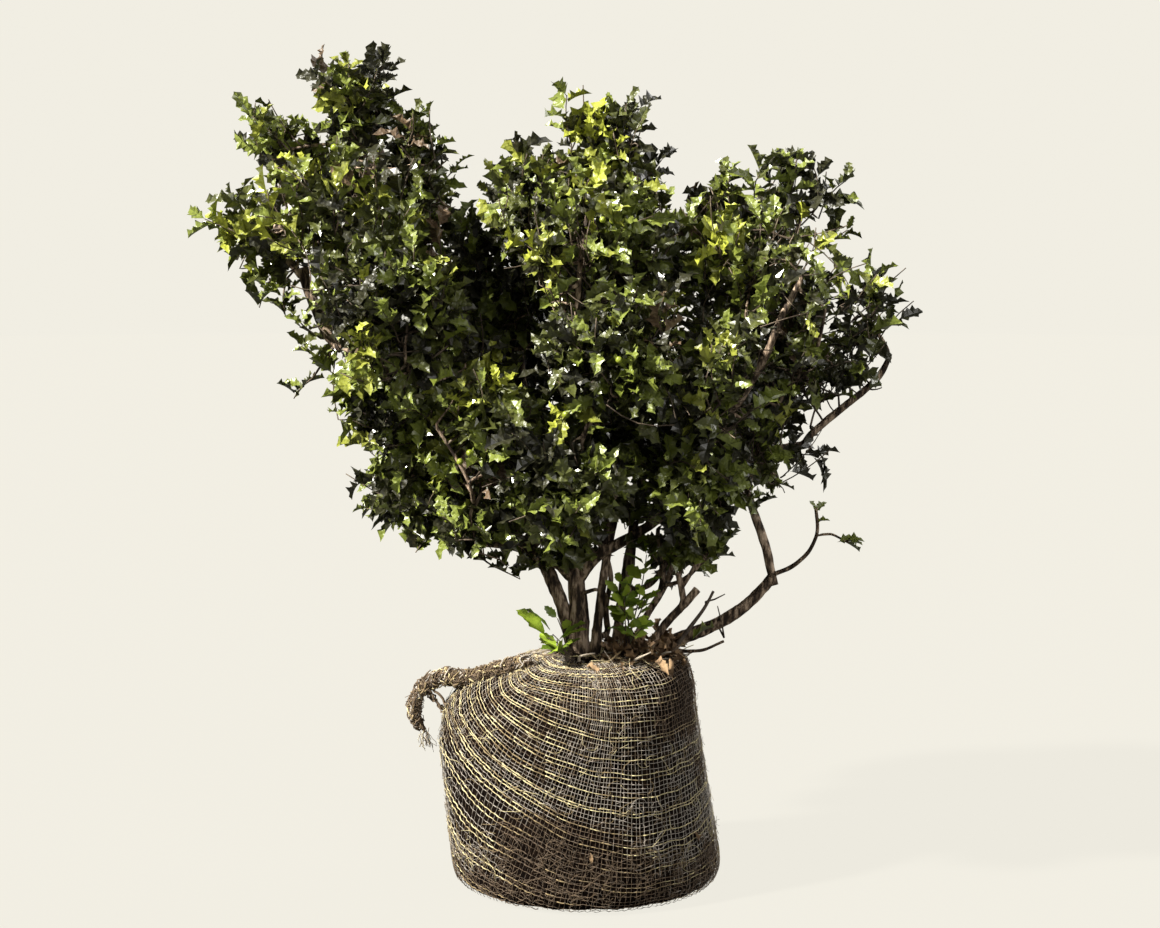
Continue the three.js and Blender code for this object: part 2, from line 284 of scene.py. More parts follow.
# ------------------------------------------------------------------ limbs

BARK_RELIEF = 0.11
THICK_LIMB = 4 * MM
# Limbs that end in a cut or a broken tip, and how much thicker than the CAD a limb is shown.
CUT_ENDS = ("cut_stem", "dead_twig", "ground_twig")
SHOWN_THICKER = {"left_bough": 1.3}


def limb_line(name, slices=14):
    """A limb's centreline and radius, (x, y, z, radius) to a row, from its foot to its tip.

    The CAD solid is cut by planes across the line between its two ends."""
    points, faces = node_arrays(name)
    middle = points.mean(axis=0)
    chord = np.linalg.svd(points - middle, full_matrices=False)[2][0]
    depth = (points - middle) @ chord
    ends = [points[np.argmin(depth)], points[np.argmax(depth)]]
    mouth = Vector((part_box("soil_ball")[0][0] * 0.2, 0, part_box("soil_ball")[1][2]))
    if (Vector(ends[0]) - mouth).length > (Vector(ends[1]) - mouth).length:
        chord, depth = -chord, -depth
    edges = np.unique(np.sort(faces[:, [[0, 1], [1, 2], [2, 0]]].reshape(-1, 2), axis=1), axis=0)
    margin = 0.04 * (depth.max() - depth.min())
    rows = []
    for level in np.linspace(depth.min() + margin, depth.max() - margin, slices):
        low, high = depth[edges[:, 0]] - level, depth[edges[:, 1]] - level
        crossing = edges[low * high < 0]
        share = (level - depth[crossing[:, 0]]) / (depth[crossing[:, 1]] - depth[crossing[:, 0]])
        cut = points[crossing[:, 0]] * (1 - share[:, None]) + points[crossing[:, 1]] * share[:, None]
        centre = cut.mean(axis=0)
        rows.append([*centre, np.median(np.linalg.norm(cut - centre, axis=1))])
    rows = np.array(rows)
    slant = unit(np.gradient(rows[:, :3], axis=0)) @ chord
    rows[:, 3] *= np.sqrt(np.clip(slant, 0.4, 1))
    rows[1:-1] = (rows[:-2] + 2 * rows[1:-1] + rows[2:]) / 4
    return rows


def lengthened(rows, before, after):
    """The limb's line, run on straight past its foot and its tip."""
    back = unit(rows[0, :3] - rows[1, :3])
    ahead = unit(rows[-1, :3] - rows[-2, :3])
    foot = np.append(rows[0, :3] + back * before, rows[0, 3])
    tip = np.append(rows[-1, :3] + ahead * after, rows[-1, 3])
    return np.vstack([foot, rows, tip])


def add_bark(surface, rows, sides, step, seed):
    """A limb with the swellings, buds and creases of its bark."""
    line = resample(rounded(rows), step)
    centres, radii = line[:, None, :3], line[:, None, 3:]
    forward = unit(np.gradient(line[:, :3], axis=0))
    helper = np.array([0, 1.0, 0]) if abs(forward[:, 1].mean()) < 0.8 else np.array([1.0, 0, 0])
    first = unit(helper - forward * (forward @ helper)[:, None])
    ring = circle(first, np.cross(forward, first), sides)
    even = centres + ring * radii
    swell = 0.6 * smooth_noise(even, 0.035, seed) + 0.3 * smooth_noise(even, 0.011, seed + 1)
    swell += 0.35 * smooth_noise(even * [1, 1, 0.2], 0.007, seed + 2)
    points = centres + ring * radii * (1 + BARK_RELIEF * swell)[..., None]
    surface.add_rings(points[None])


def make_limbs(lines, bark, dead_bark):
    """Each limb of the CAD with its bark, run on a little into what holds it and what it bears."""
    for order, (name, rows) in enumerate(lines.items()):
        thick = rows[:, 3].max() > THICK_LIMB
        rows = rows * [1, 1, 1, SHOWN_THICKER.get(name, 1)]
        foot = (12 if thick or name in CUT_ENDS else 5) * MM
        tip = (0.5 if name in CUT_ENDS else 6) * MM
        surface = Surface()
        add_bark(surface, lengthened(rows, foot, tip), 24 if thick else 8, 3.5 * MM, SEED + order)
        slot = SLOT_OF[name]
        surface.piece("bark_" + name, dead_bark if slot == "dead_bark" else bark, slot, [name])


# ------------------------------------------------------------------ crown: where the shoots stand

SHOOT_SPACING = 24 * MM
INNER_TRIES = 130
LEAF_LENGTH = 33 * MM
CROWN_HEART = np.array([0.0, 0.0, 0.45])
# The skin of a mass that lies nearer than this to another mass bears no shoots.
SEAM = 7 * MM
# Shoots that stand out from the crown's outline on the viewer's side, in millimetres: foot and tip.
SPRIGS = [
    ((-290, -30, 950), (-281, -34, 1024)), ((-292, -10, 930), (-288, -20, 990)),
    ((-268, -20, 975), (-240, -30, 1020)), ((-292, -30, 980), (-318, -40, 1008)),
    ((-232, -30, 892), (-200, -40, 956)), ((-224, -10, 892), (-198, -20, 926)),
    ((-352, -30, 915), (-398, -40, 960)), ((-402, -30, 822), (-458, -40, 836)),
    ((-404, -10, 830), (-427, -20, 862)), ((-84, -20, 870), (-76, -30, 924)),
    ((-176, 0, 866), (-152, -10, 898)), ((-12, -20, 930), (-16, -30, 986)),
    ((20, 0, 915), (30, -10, 962)), ((58, -20, 915), (72, -30, 970)),
    ((62, -10, 874), (100, -20, 908)), ((184, -20, 850), (184, -30, 894)),
    ((214, -20, 862), (228, -30, 900)), ((254, -20, 856), (264, -30, 908)),
    ((288, -20, 846), (284, -30, 902)), ((294, -10, 836), (328, -20, 884)),
    ((286, -10, 796), (328, -20, 822)), ((348, -10, 735), (366, -20, 768)),
    ((256, -30, 556), (296, -40, 548)),
]
# Places kept free of leaves, in millimetres: centre and half width. Sky, forks or shade show in them.
OPENINGS = [
    ((44, -150, 428), (20, 165, 18)),
    ((118, -150, 392), (46, 165, 26)),
    ((-70, -150, 742), (34, 95, 42)),
    ((-184, -150, 426), (48, 200, 19)),
    ((-122, -60, 428), (30, 200, 20)),
    ((100, -60, 438), (16, 220, 14)),
    ((150, -60, 447), (14, 220, 13)),
    ((200, 0, 436), (22, 300, 16)),
    ((236, -150, 812), (13, 200, 9)),
    ((262, -150, 776), (14, 200, 10)),
    ((302, -50, 834), (22, 300, 17)),
    ((298, -50, 794), (20, 300, 16)),
    ((346, 0, 802), (20, 300, 16)),
    ((273, -50, 868), (10, 300, 12)),
    ((212, -50, 884), (11, 300, 18)),
    ((148, 0, 900), (30, 300, 24)),
    ((78, 0, 936), (16, 300, 18)),
    ((302, -150, 700), (16, 200, 14)),
    ((351, -50, 721), (12, 300, 14)),
    ((400, 0, 676), (18, 300, 15)),
    ((316, -50, 669), (12, 300, 13)),
    ((291, -50, 634), (11, 300, 13)),
    ((308, 0, 622), (18, 300, 18)),
    ((292, 0, 598), (17, 300, 14)),
    ((244, -50, 566), (12, 300, 16)),
    ((214, -150, 560), (12, 200, 14)),
    ((302, 0, 534), (30, 300, 22)),
    ((250, -60, 530), (14, 300, 14)),
    ((-312, 0, 634), (16, 300, 22)),
    ((-352, 0, 686), (18, 300, 20)),
    ((-350, 0, 984), (26, 300, 28)),
    ((-408, 0, 900), (26, 300, 22)),
]
# Limbs whose bark shows from the front, and how far the leaves before them keep clear, in millimetres.
BARE_LIMBS = {
    "left_bough": 18, "low_bough_rise": 11, "left_stem": 11, "cut_stem_arm": 10, "far_right_limb": 11,
}


def surface_sample(name, count, rng):
    """Random points on a CAD node's surface, with the outward normals there."""
    points, faces = node_arrays(name)
    corners = points[faces]
    across = np.cross(corners[:, 1] - corners[:, 0], corners[:, 2] - corners[:, 0])
    area = np.linalg.norm(across, axis=1)
    chosen = rng.choice(len(faces), size=count, p=area / area.sum())
    share = rng.random((count, 2))
    over = share.sum(axis=1) > 1
    share[over] = 1 - share[over]
    base = corners[chosen]
    places = base[:, 0] + share[:, :1] * (base[:, 1] - base[:, 0]) + share[:, 1:] * (base[:, 2] - base[:, 0])
    return places, unit(across[chosen]), area.sum() / 2


def thinned(points, spacing):
    """The indices of points kept so that no two are nearer than spacing."""
    cells, kept = {}, []
    for index, point in enumerate(points):
        key = tuple((point // spacing).astype(int))
        near = (
            other
            for dx in (-1, 0, 1) for dy in (-1, 0, 1) for dz in (-1, 0, 1)
            for other in cells.get((key[0] + dx, key[1] + dy, key[2] + dz), ())
        )
        if all(np.sum((points[other] - point) ** 2) >= spacing ** 2 for other in near):
            cells.setdefault(key, []).append(index)
            kept.append(index)
    return np.array(kept)


def outer_shoot_places():
    """Evenly spaced points over the outside of the crown, with the outward normals there."""
    rng = np.random.default_rng(SEED)
    places, normals = [], []
    for name in MASSES:
        others = tree_of([other for other in MASSES if other != name])
        area = surface_sample(name, 1, rng)[2]
        on, out, _ = surface_sample(name, int(area / SHOOT_SPACING ** 2 * 5), rng)
        free = np.array([others.find_nearest(Vector(point))[3] > SEAM for point in on])
        places.append(on[free])
        normals.append(out[free])
    places, normals = np.vstack(places), np.vstack(normals)
    kept = thinned(places, SHOOT_SPACING)
    return places[kept], normals[kept]


def inner_places(rng):
    """Random points inside the masses: a line from such a point crosses the skin an odd number of times."""
    upward = Vector((0.02, 0.03, 1))
    found = []
    for name in MASSES:
        low, high = (np.array(corner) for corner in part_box(name))
        tree = tree_of([name])
        for point in rng.uniform(low, high, size=(INNER_TRIES, 3)):
            hits, start = 0, Vector(point)
            while hits < 9:
                place = tree.ray_cast(start, upward)[0]
                if place is None:
                    break
                hits += 1
                start = place + upward * 1e-5
            if hits % 2:
                found.append(point)
    return np.array(found)


def outside_by(points, tree):
    """How far each point lies outside the masses; below nothing where it is inside them."""
    out = np.empty(len(points))
    for row, point in enumerate(points):
        place, normal, _, distance = tree.find_nearest(Vector(point))
        out[row] = math.copysign(distance, (Vector(point) - place).dot(normal))
    return out


def in_openings(points):
    """Whether each point lies in one of the places kept free of leaves."""
    found = np.zeros(len(points), dtype=bool)
    for centre, half in OPENINGS:
        found |= (((points - np.array(centre) * MM) / (np.array(half) * MM)) ** 2).sum(axis=1) < 1
    return found


def in_sky_gap(points):
    """The places where the sky shows through: small, and more of them towards the crown's rim and hem."""
    from_heart = np.linalg.norm((points - CROWN_HEART) / [0.34, 0.5, 0.3], axis=-1)
    hem = np.clip((0.5 - points[:, 2]) / 0.06, 0, 1)
    right = np.clip((points[:, 0] - 0.05) / 0.15, 0, 1)
    limit = 1.5 - 0.8 * np.clip(from_heart - 0.4, 0, 1) - 0.2 * hem - 0.3 * right
    return smooth_noise(points * [1, 0.12, 1], 0.018, SEED + 30) > limit


def outer_shoots(crown, rng):
    """Bases and tips of the shoots over the outside of the crown, in clumps with gaps between them."""
    places, normals = outer_shoot_places()
    clumped = smooth_noise(places, 0.075, SEED + 8) + rng.normal(scale=0.2, size=len(places)) > -0.62
    places, normals = places[clumped], normals[clumped]
    count = len(places)
    away = unit(places - CROWN_HEART)
    rise = 0.55 * np.clip(normals[:, 2:] + 0.7, 0, 1) * [0, 0, 1]
    heading = unit(normals * 0.6 + away * 0.4 + rise + rng.normal(scale=0.3, size=(count, 3)))
    length = rng.uniform(45, 90, count) * MM
    sunk = np.where(rng.random(count) < 0.2, rng.uniform(-18, 10, count), rng.uniform(14, 48, count)) * MM
    tips = places - normals * sunk[:, None]
    bases = tips - heading * length[:, None]
    kept = (outside_by(bases, crown) < -4 * MM) & ~in_openings(tips)
    return bases[kept], tips[kept]


def inner_shoots(crown, rng):
    """Bases and tips of short shoots deep inside the crown, which close it against the light."""
    places = inner_places(np.random.default_rng(SEED + 2))
    tips = places[(outside_by(places, crown) < -28 * MM) & ~in_openings(places)]
    heading = unit(tips - CROWN_HEART + rng.normal(scale=0.15, size=tips.shape))
    return tips - heading * 45 * MM, tips


# ------------------------------------------------------------------ crown: boughs and twigs

# How far apart the branching points stand on the limbs, and on the hidden boughs.
LIMB_STEP = 18 * MM
BOUGH_STEP = 16 * MM
THINNEST_BOUGH = 2.2 * MM
# The hidden run of each main bough: from the limb's tip towards the middles of these masses in turn.
LEADERS = {
    "trunk": ["heart", "centre_peak"],
    "left_stem": ["left_back_skirt", "left_back", "left_back_top"],
    "inner_stem": ["centre_low", "centre_middle", "centre_upper"],
    "back_stem": ["centre_back_low", "centre_back", "centre_back_top"],
    "right_stem": ["right_skirt", "right_middle", "right_upper"],
    "cut_stem_arm": ["right_hem", "right_back_skirt", "right_back", "right_back_top"],
    "low_bough_rise": ["right_flank", "right_side", "right_peak"],
    "left_skirt_limb": ["left_skirt", "left_flank", "left_middle"],
    "left_bough": ["left_tip", "left_upper", "left_peak"],
    "far_right_limb": ["right_tip"],
}
# Forks that show under the crown's hem, in millimetres: each line, with its radius at foot and tip.
FORKS = [
    ([(-2, -2, 384), (10, -14, 408), (34, -26, 428), (66, -30, 444), (104, -34, 470), (130, -36, 506)], 8, 5),
    ([(26, -18, 420), (34, -14, 450), (44, -8, 490), (50, -4, 545)], 5.5, 4),
    ([(-10, -4, 388), (-32, -18, 412), (-66, -28, 430), (-100, -32, 456), (-150, -36, 490)], 7, 4.5),
    ([(48, 30, 330), (62, 26, 384), (66, 24, 430), (70, 20, 490)], 7, 6),
    ([(92, 4, 350), (104, -4, 376), (105, -12, 410), (96, -14, 450)], 4, 3),
    ([(16, -18, 318), (27, -16, 350), (26, -14, 392), (36, -16, 430)], 3.4, 2.6),
    ([(36, -12, 318), (30, -10, 352), (42, -12, 390), (30, -16, 424)], 4, 3),
    ([(8, -20, 372), (22, -22, 380), (34, -20, 368)], 2.6, 1.6),
    ([(66, 24, 368), (88, 10, 374), (100, 2, 392), (116, -6, 420)], 4, 3),
    ([(126, -32, 380), (140, -32, 400), (150, -30, 428)], 3, 2),
    ([(100, -6, 378), (126, -22, 384), (150, -30, 408), (168, -30, 440)], 3, 2),
]
# Boughs and twigs bare enough to show in front of the leaves, in the same way.
SHOWN = [
    ([(140, -50, 545), (170, -104, 588), (200, -140, 638), (222, -156, 680), (236, -160, 722),
      (262, -150, 768)], 7, 3.5),
    ([(-128, -120, 488), (-126, -158, 503), (-130, -172, 528), (-150, -180, 566), (-170, -184, 596)], 3, 1.8),
    ([(-130, -172, 528), (-122, -182, 534), (-114, -188, 546)], 1.9, 1.2),
    ([(-196, -150, 640), (-206, -190, 672), (-200, -196, 718)], 2.6, 1.6),
    ([(0, -120, 690), (-4, -160, 740), (2, -158, 800), (10, -140, 850)], 4, 2.6),
    ([(276, -60, 640), (290, -70, 684), (298, -72, 730)], 2.8, 1.8),
    ([(246, -50, 600), (262, -64, 628), (272, -70, 668)], 2.4, 1.6),
]


def node_middle(name):
    """The middle of a CAD node's box."""
    low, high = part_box(name)
    return (np.array(low) + np.array(high)) / 2


class Branching:
    """A tree of points that grows towards the places where the shoots stand."""

    def __init__(self):
        self.points = []
        self.parents = []
        self.limb_radius = []

    def add_line(self, line, parent, radius):
        """The points of a line, each on the one before it. A radius of 0 is left to the load."""
        for point in line:
            self.points.append(np.array(point))
            self.parents.append(parent)
            self.limb_radius.append(radius)
            parent = len(self.points) - 1
        return parent

    def nearest(self, point):
        """The branching point nearest to this place."""
        return int(np.argmin(np.sum((np.array(self.points) - point) ** 2, axis=1)))

    def update_nearest(self, targets, fresh, nearest, distance):
        """Each target's nearest point and its distance, now that the fresh points are there."""
        places = np.array([self.points[index] for index in fresh])
        for start in range(0, len(fresh), 256):
            gaps = np.linalg.norm(targets[:, None] - places[None, start:start + 256], axis=2)
            best = gaps.argmin(axis=1)
            closer = gaps[np.arange(len(targets)), best] < distance
            distance[closer] = gaps[closer, best[closer]]
            nearest[closer] = fresh[start + best[closer]]

    def grow(self, targets, step, kill, rounds, rng):
        """Each round every point with free targets near it puts out a twig towards them.

        Returns the branching point that each target hangs on."""
        holder = np.full(len(targets), -1)
        nearest = np.zeros(len(targets), dtype=int)
        distance = np.full(len(targets), np.inf)
        fresh = np.arange(len(self.points))
        for _ in range(rounds):
            self.update_nearest(targets, fresh, nearest, distance)
            reached = (distance < kill) & (holder < 0)
            holder[reached] = nearest[reached]
            free = np.flatnonzero(holder < 0)
            if not len(free):
                break
            pulls = {}
            for index in free:
                pull = (targets[index] - self.points[nearest[index]]) / distance[index]
                pulls.setdefault(nearest[index], []).append(pull)
            fresh = []
            for index, pull in pulls.items():
                towards = unit(np.mean(pull, axis=0) + rng.normal(scale=0.12, size=3))
                fresh.append(self.add_line([self.points[index] + towards * step], index, 0))
            fresh = np.array(fresh)
        left = holder < 0
        holder[left] = nearest[left]
        return holder

    def radii(self, loads, tip_radius, power=2.35):
        """Each point is as thick as the shoots beyond it need, and thinner than what it springs from."""
        total = loads * tip_radius ** power
        for index in range(len(self.points) - 1, -1, -1):
            total[index] = max(total[index], tip_radius ** power)
            if self.parents[index] >= 0:
                total[self.parents[index]] += total[index]
        found = total ** (1 / power)
        for index, parent in enumerate(self.parents):
            if self.limb_radius[index]:
                found[index] = self.limb_radius[index]
            elif parent >= 0:
                found[index] = min(found[index], 0.965 * found[parent])
        return np.maximum(found, 0.6 * tip_radius)

    def chains(self, radii):
        """The tree as lines, each following its thickest child from a fork to a tip."""
        children = [[] for _ in self.points]
        for index, parent in enumerate(self.parents):
            if parent >= 0:
                children[parent].append(index)
        starts = [(index, -1) for index, parent in enumerate(self.parents) if parent < 0]
        lines = []
        while starts:
            index, before = starts.pop()
            line = [before, index] if before >= 0 else [index]
            while children[index]:
                order = sorted(children[index], key=lambda child: -radii[child])
                starts.extend((child, index) for child in order[1:])
                index = order[0]
                line.append(index)
            lines.append(line)
        return lines


def start_branching(lines):
    """The branching begins as the visible limbs, run on inside the crown by their leaders and their forks."""
    tree = Branching()
    for name, masses in LEADERS.items():
        limb = resample(lines[name], LIMB_STEP)
        parent = -1
        if name in ("left_bough", "far_right_limb"):
            parent = tree.nearest(limb[0, :3])
            bridge = resample(np.vstack([tree.points[parent], limb[0, :3]]), BOUGH_STEP)[1:]
            parent = tree.add_line(bridge, parent, limb[0, 3])
        for point in limb:
            parent = tree.add_line([point[:3]], parent, point[3])
        middles = [node_middle(mass) for mass in masses]
        run = rounded(np.vstack([limb[-3, :3], limb[-1, :3], *middles]), 3)
        bend = np.stack([smooth_noise(run, 0.16, SEED + axis) for axis in range(3)], axis=1)
        bend *= np.linspace(0, 1, len(run))[:, None] * 14 * MM
        tree.add_line(resample(run + bend, BOUGH_STEP)[2:], parent, 0)
    for line, foot, tip in FORKS + SHOWN:
        run = resample(rounded(np.array(line) * MM), 14 * MM)
        parent = tree.nearest(run[0])
        for share, point in zip(np.linspace(0, 1, len(run)), run):
            parent = tree.add_line([point], parent, (foot + (tip - foot) * share) * MM)
    return tree


def visible_points(tree, lines):
    """The branching points that lie on the limbs that have bark pieces of their own."""
    points = np.array(tree.points)
    limbs = np.vstack([resample(lines[name][:, :3], LIMB_STEP) for name in LEADERS])
    return {int(np.argmin(np.sum((points - point) ** 2, axis=1))) for point in limbs}


def make_branches(tree, radii, limb_points, bark):
    """Boughs inside the crown, joined into one piece, and the twigs as a surface that shoots are added to."""
    boughs, twigs = Surface(), Surface()
    points = np.array(tree.points)
    for line in tree.chains(radii):
        hidden = [index for index in line if index not in limb_points]
        if len(hidden) < 2:
            continue
        first = line.index(hidden[0])
        run = line[max(0, first - 1):]
        thickness = radii[run].copy()
        if first > 0:
            thickness[0] = thickness[1]
        rows = np.column_stack([points[run], thickness])
        if thickness.max() > THINNEST_BOUGH:
            add_bark(boughs, rows, 10, 6 * MM, SEED + line[0])
        else:
            smooth = resample(rounded(rows, 1), 11 * MM)
            twigs.add_tube(smooth[:, :3], smooth[:, 3], 5)
    boughs.piece("inner_boughs", bark, "bark")
    return twigs


# ------------------------------------------------------------------ leaves

# How far the hollows between the spines come out, as a share of the leaf's breadth there.
HOLLOW_DEPTH = 0.86


def leaf_template(spines, width, fold, wave, droop, spine_length, seed):
    """One holly leaf a unit long: its stalk at the origin, its tip towards +X and its face towards +Z."""
    rng = np.random.default_rng(seed)
    tops = (np.arange(spines) + 0.75) / (spines + 0.55)
    hollows = (np.arange(spines + 1) + 0.3) / (spines + 0.55)

    def breadth(along):
        """Half the blade's breadth at this share of its length."""
        return width * np.sin(math.pi * np.clip(along, 0, 1) ** 0.85) ** 0.75

    def lift(along, across):
        """The blade's height there, folded up along its rib and drooping to its tip."""
        return fold * abs(across) - droop * along ** 2

    middles = [np.array([0, 0, 0.0])]
    middles += [np.array([top - 0.03, 0, lift(top, 0)]) for top in tops]
    tip = np.array([1.0, 0, lift(1, 0) - 0.03])
    points, faces = [*middles, tip], []
    tip_index = len(middles)
    for hand in (-1, 1):
        spine_index, hollow_index = [], []
        for number, top in enumerate(tops):
            across = hand * (breadth(top) + spine_length * rng.uniform(0.8, 1.15))
            turn = wave * (1 if (number + (hand > 0)) % 2 else -1) * rng.uniform(0.6, 1.2)
            points.append(np.array([top + 0.05, across, lift(top, across) + turn]))
            spine_index.append(len(points) - 1)
        for number, hollow in enumerate(hollows):
            across = hand * breadth(hollow) * HOLLOW_DEPTH
            turn = -0.4 * wave * rng.uniform(-1, 1)
            points.append(np.array([hollow, across, lift(hollow, across) + turn]))
            hollow_index.append(len(points) - 1)
        fan = [(0, hollow_index[0], 1), (1, hollow_index[0], spine_index[0])]
        for number in range(1, spines):
            here = number + 1
            fan += [
                (number, spine_index[number - 1], hollow_index[number]),
                (number, hollow_index[number], here),
                (here, hollow_index[number], spine_index[number]),
            ]
        fan += [
            (spines, spine_index[-1], hollow_index[spines]),
            (spines, hollow_index[spines], tip_index),
        ]
        faces += [face if hand < 0 else face[::-1] for face in fan]
    stalk = len(points)
    points += [np.array([-0.13, 0.0, 0.0]), np.array([0.02, 0.022, 0.002]), np.array([0.02, -0.022, 0.002])]
    faces += [(stalk, stalk + 2, stalk + 1)]
    return np.array(points), np.array(faces)


def leaf_frames(axes, faces_up):
    """Rotation matrices that turn a leaf's length and face to these directions."""
    x = unit(axes)
    z = unit(faces_up - x * np.sum(faces_up * x, axis=1, keepdims=True))
    y = np.cross(z, x)
    return np.stack([x, y, z], axis=2)


def add_leaves(surface, templates, origins, axes, faces_up, sizes, rng):
    """One leaf of a random template at each origin."""
    turns = leaf_frames(axes, faces_up)
    chosen = rng.integers(len(templates), size=len(origins))
    for number, (points, faces) in enumerate(templates):
        mine = chosen == number
        if not mine.any():
            continue
        placed = np.einsum("nij,pj->npi", turns[mine], points) * sizes[mine][:, None, None]
        placed += origins[mine][:, None]
        offsets = np.arange(mine.sum())[:, None, None] * len(points)
        surface.add(placed, faces[None] + offsets)


HOLLY_TEMPLATES = [
    leaf_template(4, 0.23, 0.6, 0.1, 0.25, 0.065, 1),
    leaf_template(4, 0.25, 0.42, 0.11, 0.5, 0.06, 2),
    leaf_template(4, 0.19, 1.05, 0.1, 0.1, 0.065, 3),
    leaf_template(3, 0.21, 0.5, 0.13, -0.25, 0.07, 4),
    leaf_template(4, 0.22, 0.9, 0.13, 0.42, 0.07, 5),
]
SPROUT_TEMPLATES = [
    leaf_template(3, 0.27, 0.2, 0.02, 0.25, 0.02, 6),
    leaf_template(4, 0.25, 0.3, 0.03, 0.12, 0.025, 7),
]

# Colour, roughness, wax and share of the sprays of each kind of leaf.
LEAF_KINDS = {
    "dark": ((0.075, 0.085, 0.017), 0.42, 0.9, 0.32),
    "deep": ((0.028, 0.028, 0.011), 0.45, 0.7, 0.25),
    "middle": ((0.17, 0.205, 0.032), 0.42, 0.9, 0.29),
    "olive": ((0.25, 0.27, 0.038), 0.45, 0.5, 0.13),
    "young": ((0.37, 0.4, 0.048), 0.48, 0.25, 0.05),
    "russet": ((0.12, 0.08, 0.045), 0.5, 0.1, 0.008),
}
KIND_NAMES = list(LEAF_KINDS)
GOLDEN_ANGLE = math.radians(137.5)
# A leaf's stalk, as a share of its length, and the way its face tends to turn.
STALK = 0.13
TOWARDS_LIGHT = np.array([-0.42, -0.3, 0.45])
# How far a leaf's tip may pass the masses, and how deep before a bare limb the leaves are left out.
OVERHANG = 14 * MM
VIEW_DEPTH = 260 * MM
# Leaves to a shoot: outside, deep inside, and on the sprigs.
LEAVES_OUTSIDE = (7, 13)
LEAVES_INSIDE = (4, 7)
LEAVES_ON_SPRIG = (6, 10)
TIP_RADIUS = 0.9 * MM
# Where young shoots stand out on the viewer's side, in millimetres: across, up, and how far they spread.
# Their pale leaves are partly young growth and partly painted light, standing for sun shining through backlit
# leaves.
YOUNG_AND_PAINTED_BACKLIGHT_SPOTS = [
    (-315, 973, 24), (-256, 851, 18), (-190, 623, 18), (12, 948, 28), (4, 885, 24), (18, 805, 24),
    (-66, 821, 28), (175, 817, 28), (275, 842, 20), (-112, 655, 26), (-387, 748, 26), (200, 561, 16),
    (-330, 905, 18), (120, 700, 18), (-250, 700, 16),
    (-424, 800, 20), (-442, 838, 18), (-360, 806, 22), (-345, 850, 16),
]


def kinds_by_spray(tips, rng):
    """A kind of leaf for each spray. Young growth gathers in patches high on the outside of the crown, and
    the bright kinds dealt high up and at the left edge are also painted light where the sun falls.
    """
    low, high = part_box("soil_ball")[1][2], cad_box[1][2]
    height = (tips[:, 2] - low) / (high - low)
    patch = smooth_noise(tips, 0.22, SEED + 5)
    # More young and olive sprays high up and at the crown's left edge, which face the sun: partly young
    # growth, partly painted light.
    painted_light_left_edge = np.clip((-0.3 - tips[:, 0]) / 0.12, 0, 1)
    boost = np.clip(0.1 + 2.2 * height ** 2 * np.clip(patch + 0.35, 0, 1.2) + 1.6 * painted_light_left_edge, 0, 4)
    shares = np.array([[kind[3] for kind in LEAF_KINDS.values()]] * len(tips))
    shares[:, KIND_NAMES.index("young")] *= boost
    shares[:, KIND_NAMES.index("olive")] *= 0.15 + boost
    shares /= shares.sum(axis=1, keepdims=True)
    draw = rng.random(len(tips))
    kinds = (draw[:, None] > np.cumsum(shares, axis=1)).sum(axis=1)
    # Round these spots most sprays take the young kind: painted light for backlit leaves as well as young
    # growth.
    for across, up, spread in YOUNG_AND_PAINTED_BACKLIGHT_SPOTS:
        near = np.hypot(tips[:, 0] - across * MM, tips[:, 2] - up * MM) < spread * MM
        near &= tips[:, 1] < 20 * MM
        kinds[near & (rng.random(len(tips)) < 0.75)] = KIND_NAMES.index("young")
    return kinds


def leaf_kinds(kinds, number, rng):
    """The kind of the numbered leaf of each spray, counted from its tip: older leaves are greener."""
    young, olive, middle, dark = (KIND_NAMES.index(name) for name in ("young", "olive", "middle", "dark"))
    found = kinds.copy()
    if number > 3:
        found[kinds == young] = olive
        found[kinds == olive] = middle
    odd = rng.random(len(kinds))
    found[(found == dark) & (odd < 0.16)] = middle
    found[(found == middle) & (odd > 0.97)] = olive
    return found


def add_shoots(twigs, shoots, bow, holders, holder_radii):
    """The stems of the shoots, each with a twig back to the branching point that holds it."""
    bases, tips = shoots
    steps = np.linspace(0, 1, 5)
    stems = bases[:, None] + (tips - bases)[:, None] * steps[None, :, None]
    stems += bow[:, None] * np.sin(steps * math.pi)[None, :, None]
    lead = holders[:, None] + (bases - holders)[:, None] * np.linspace(0, 1, 4)[None, :-1, None]
    lines = np.concatenate([lead, stems], axis=1)
    foot = np.minimum(holder_radii, 1.3 * MM)[:, None]
    twigs.add_tubes(lines, foot + (0.65 * MM - foot) * np.linspace(0, 1, lines.shape[1]), 4)


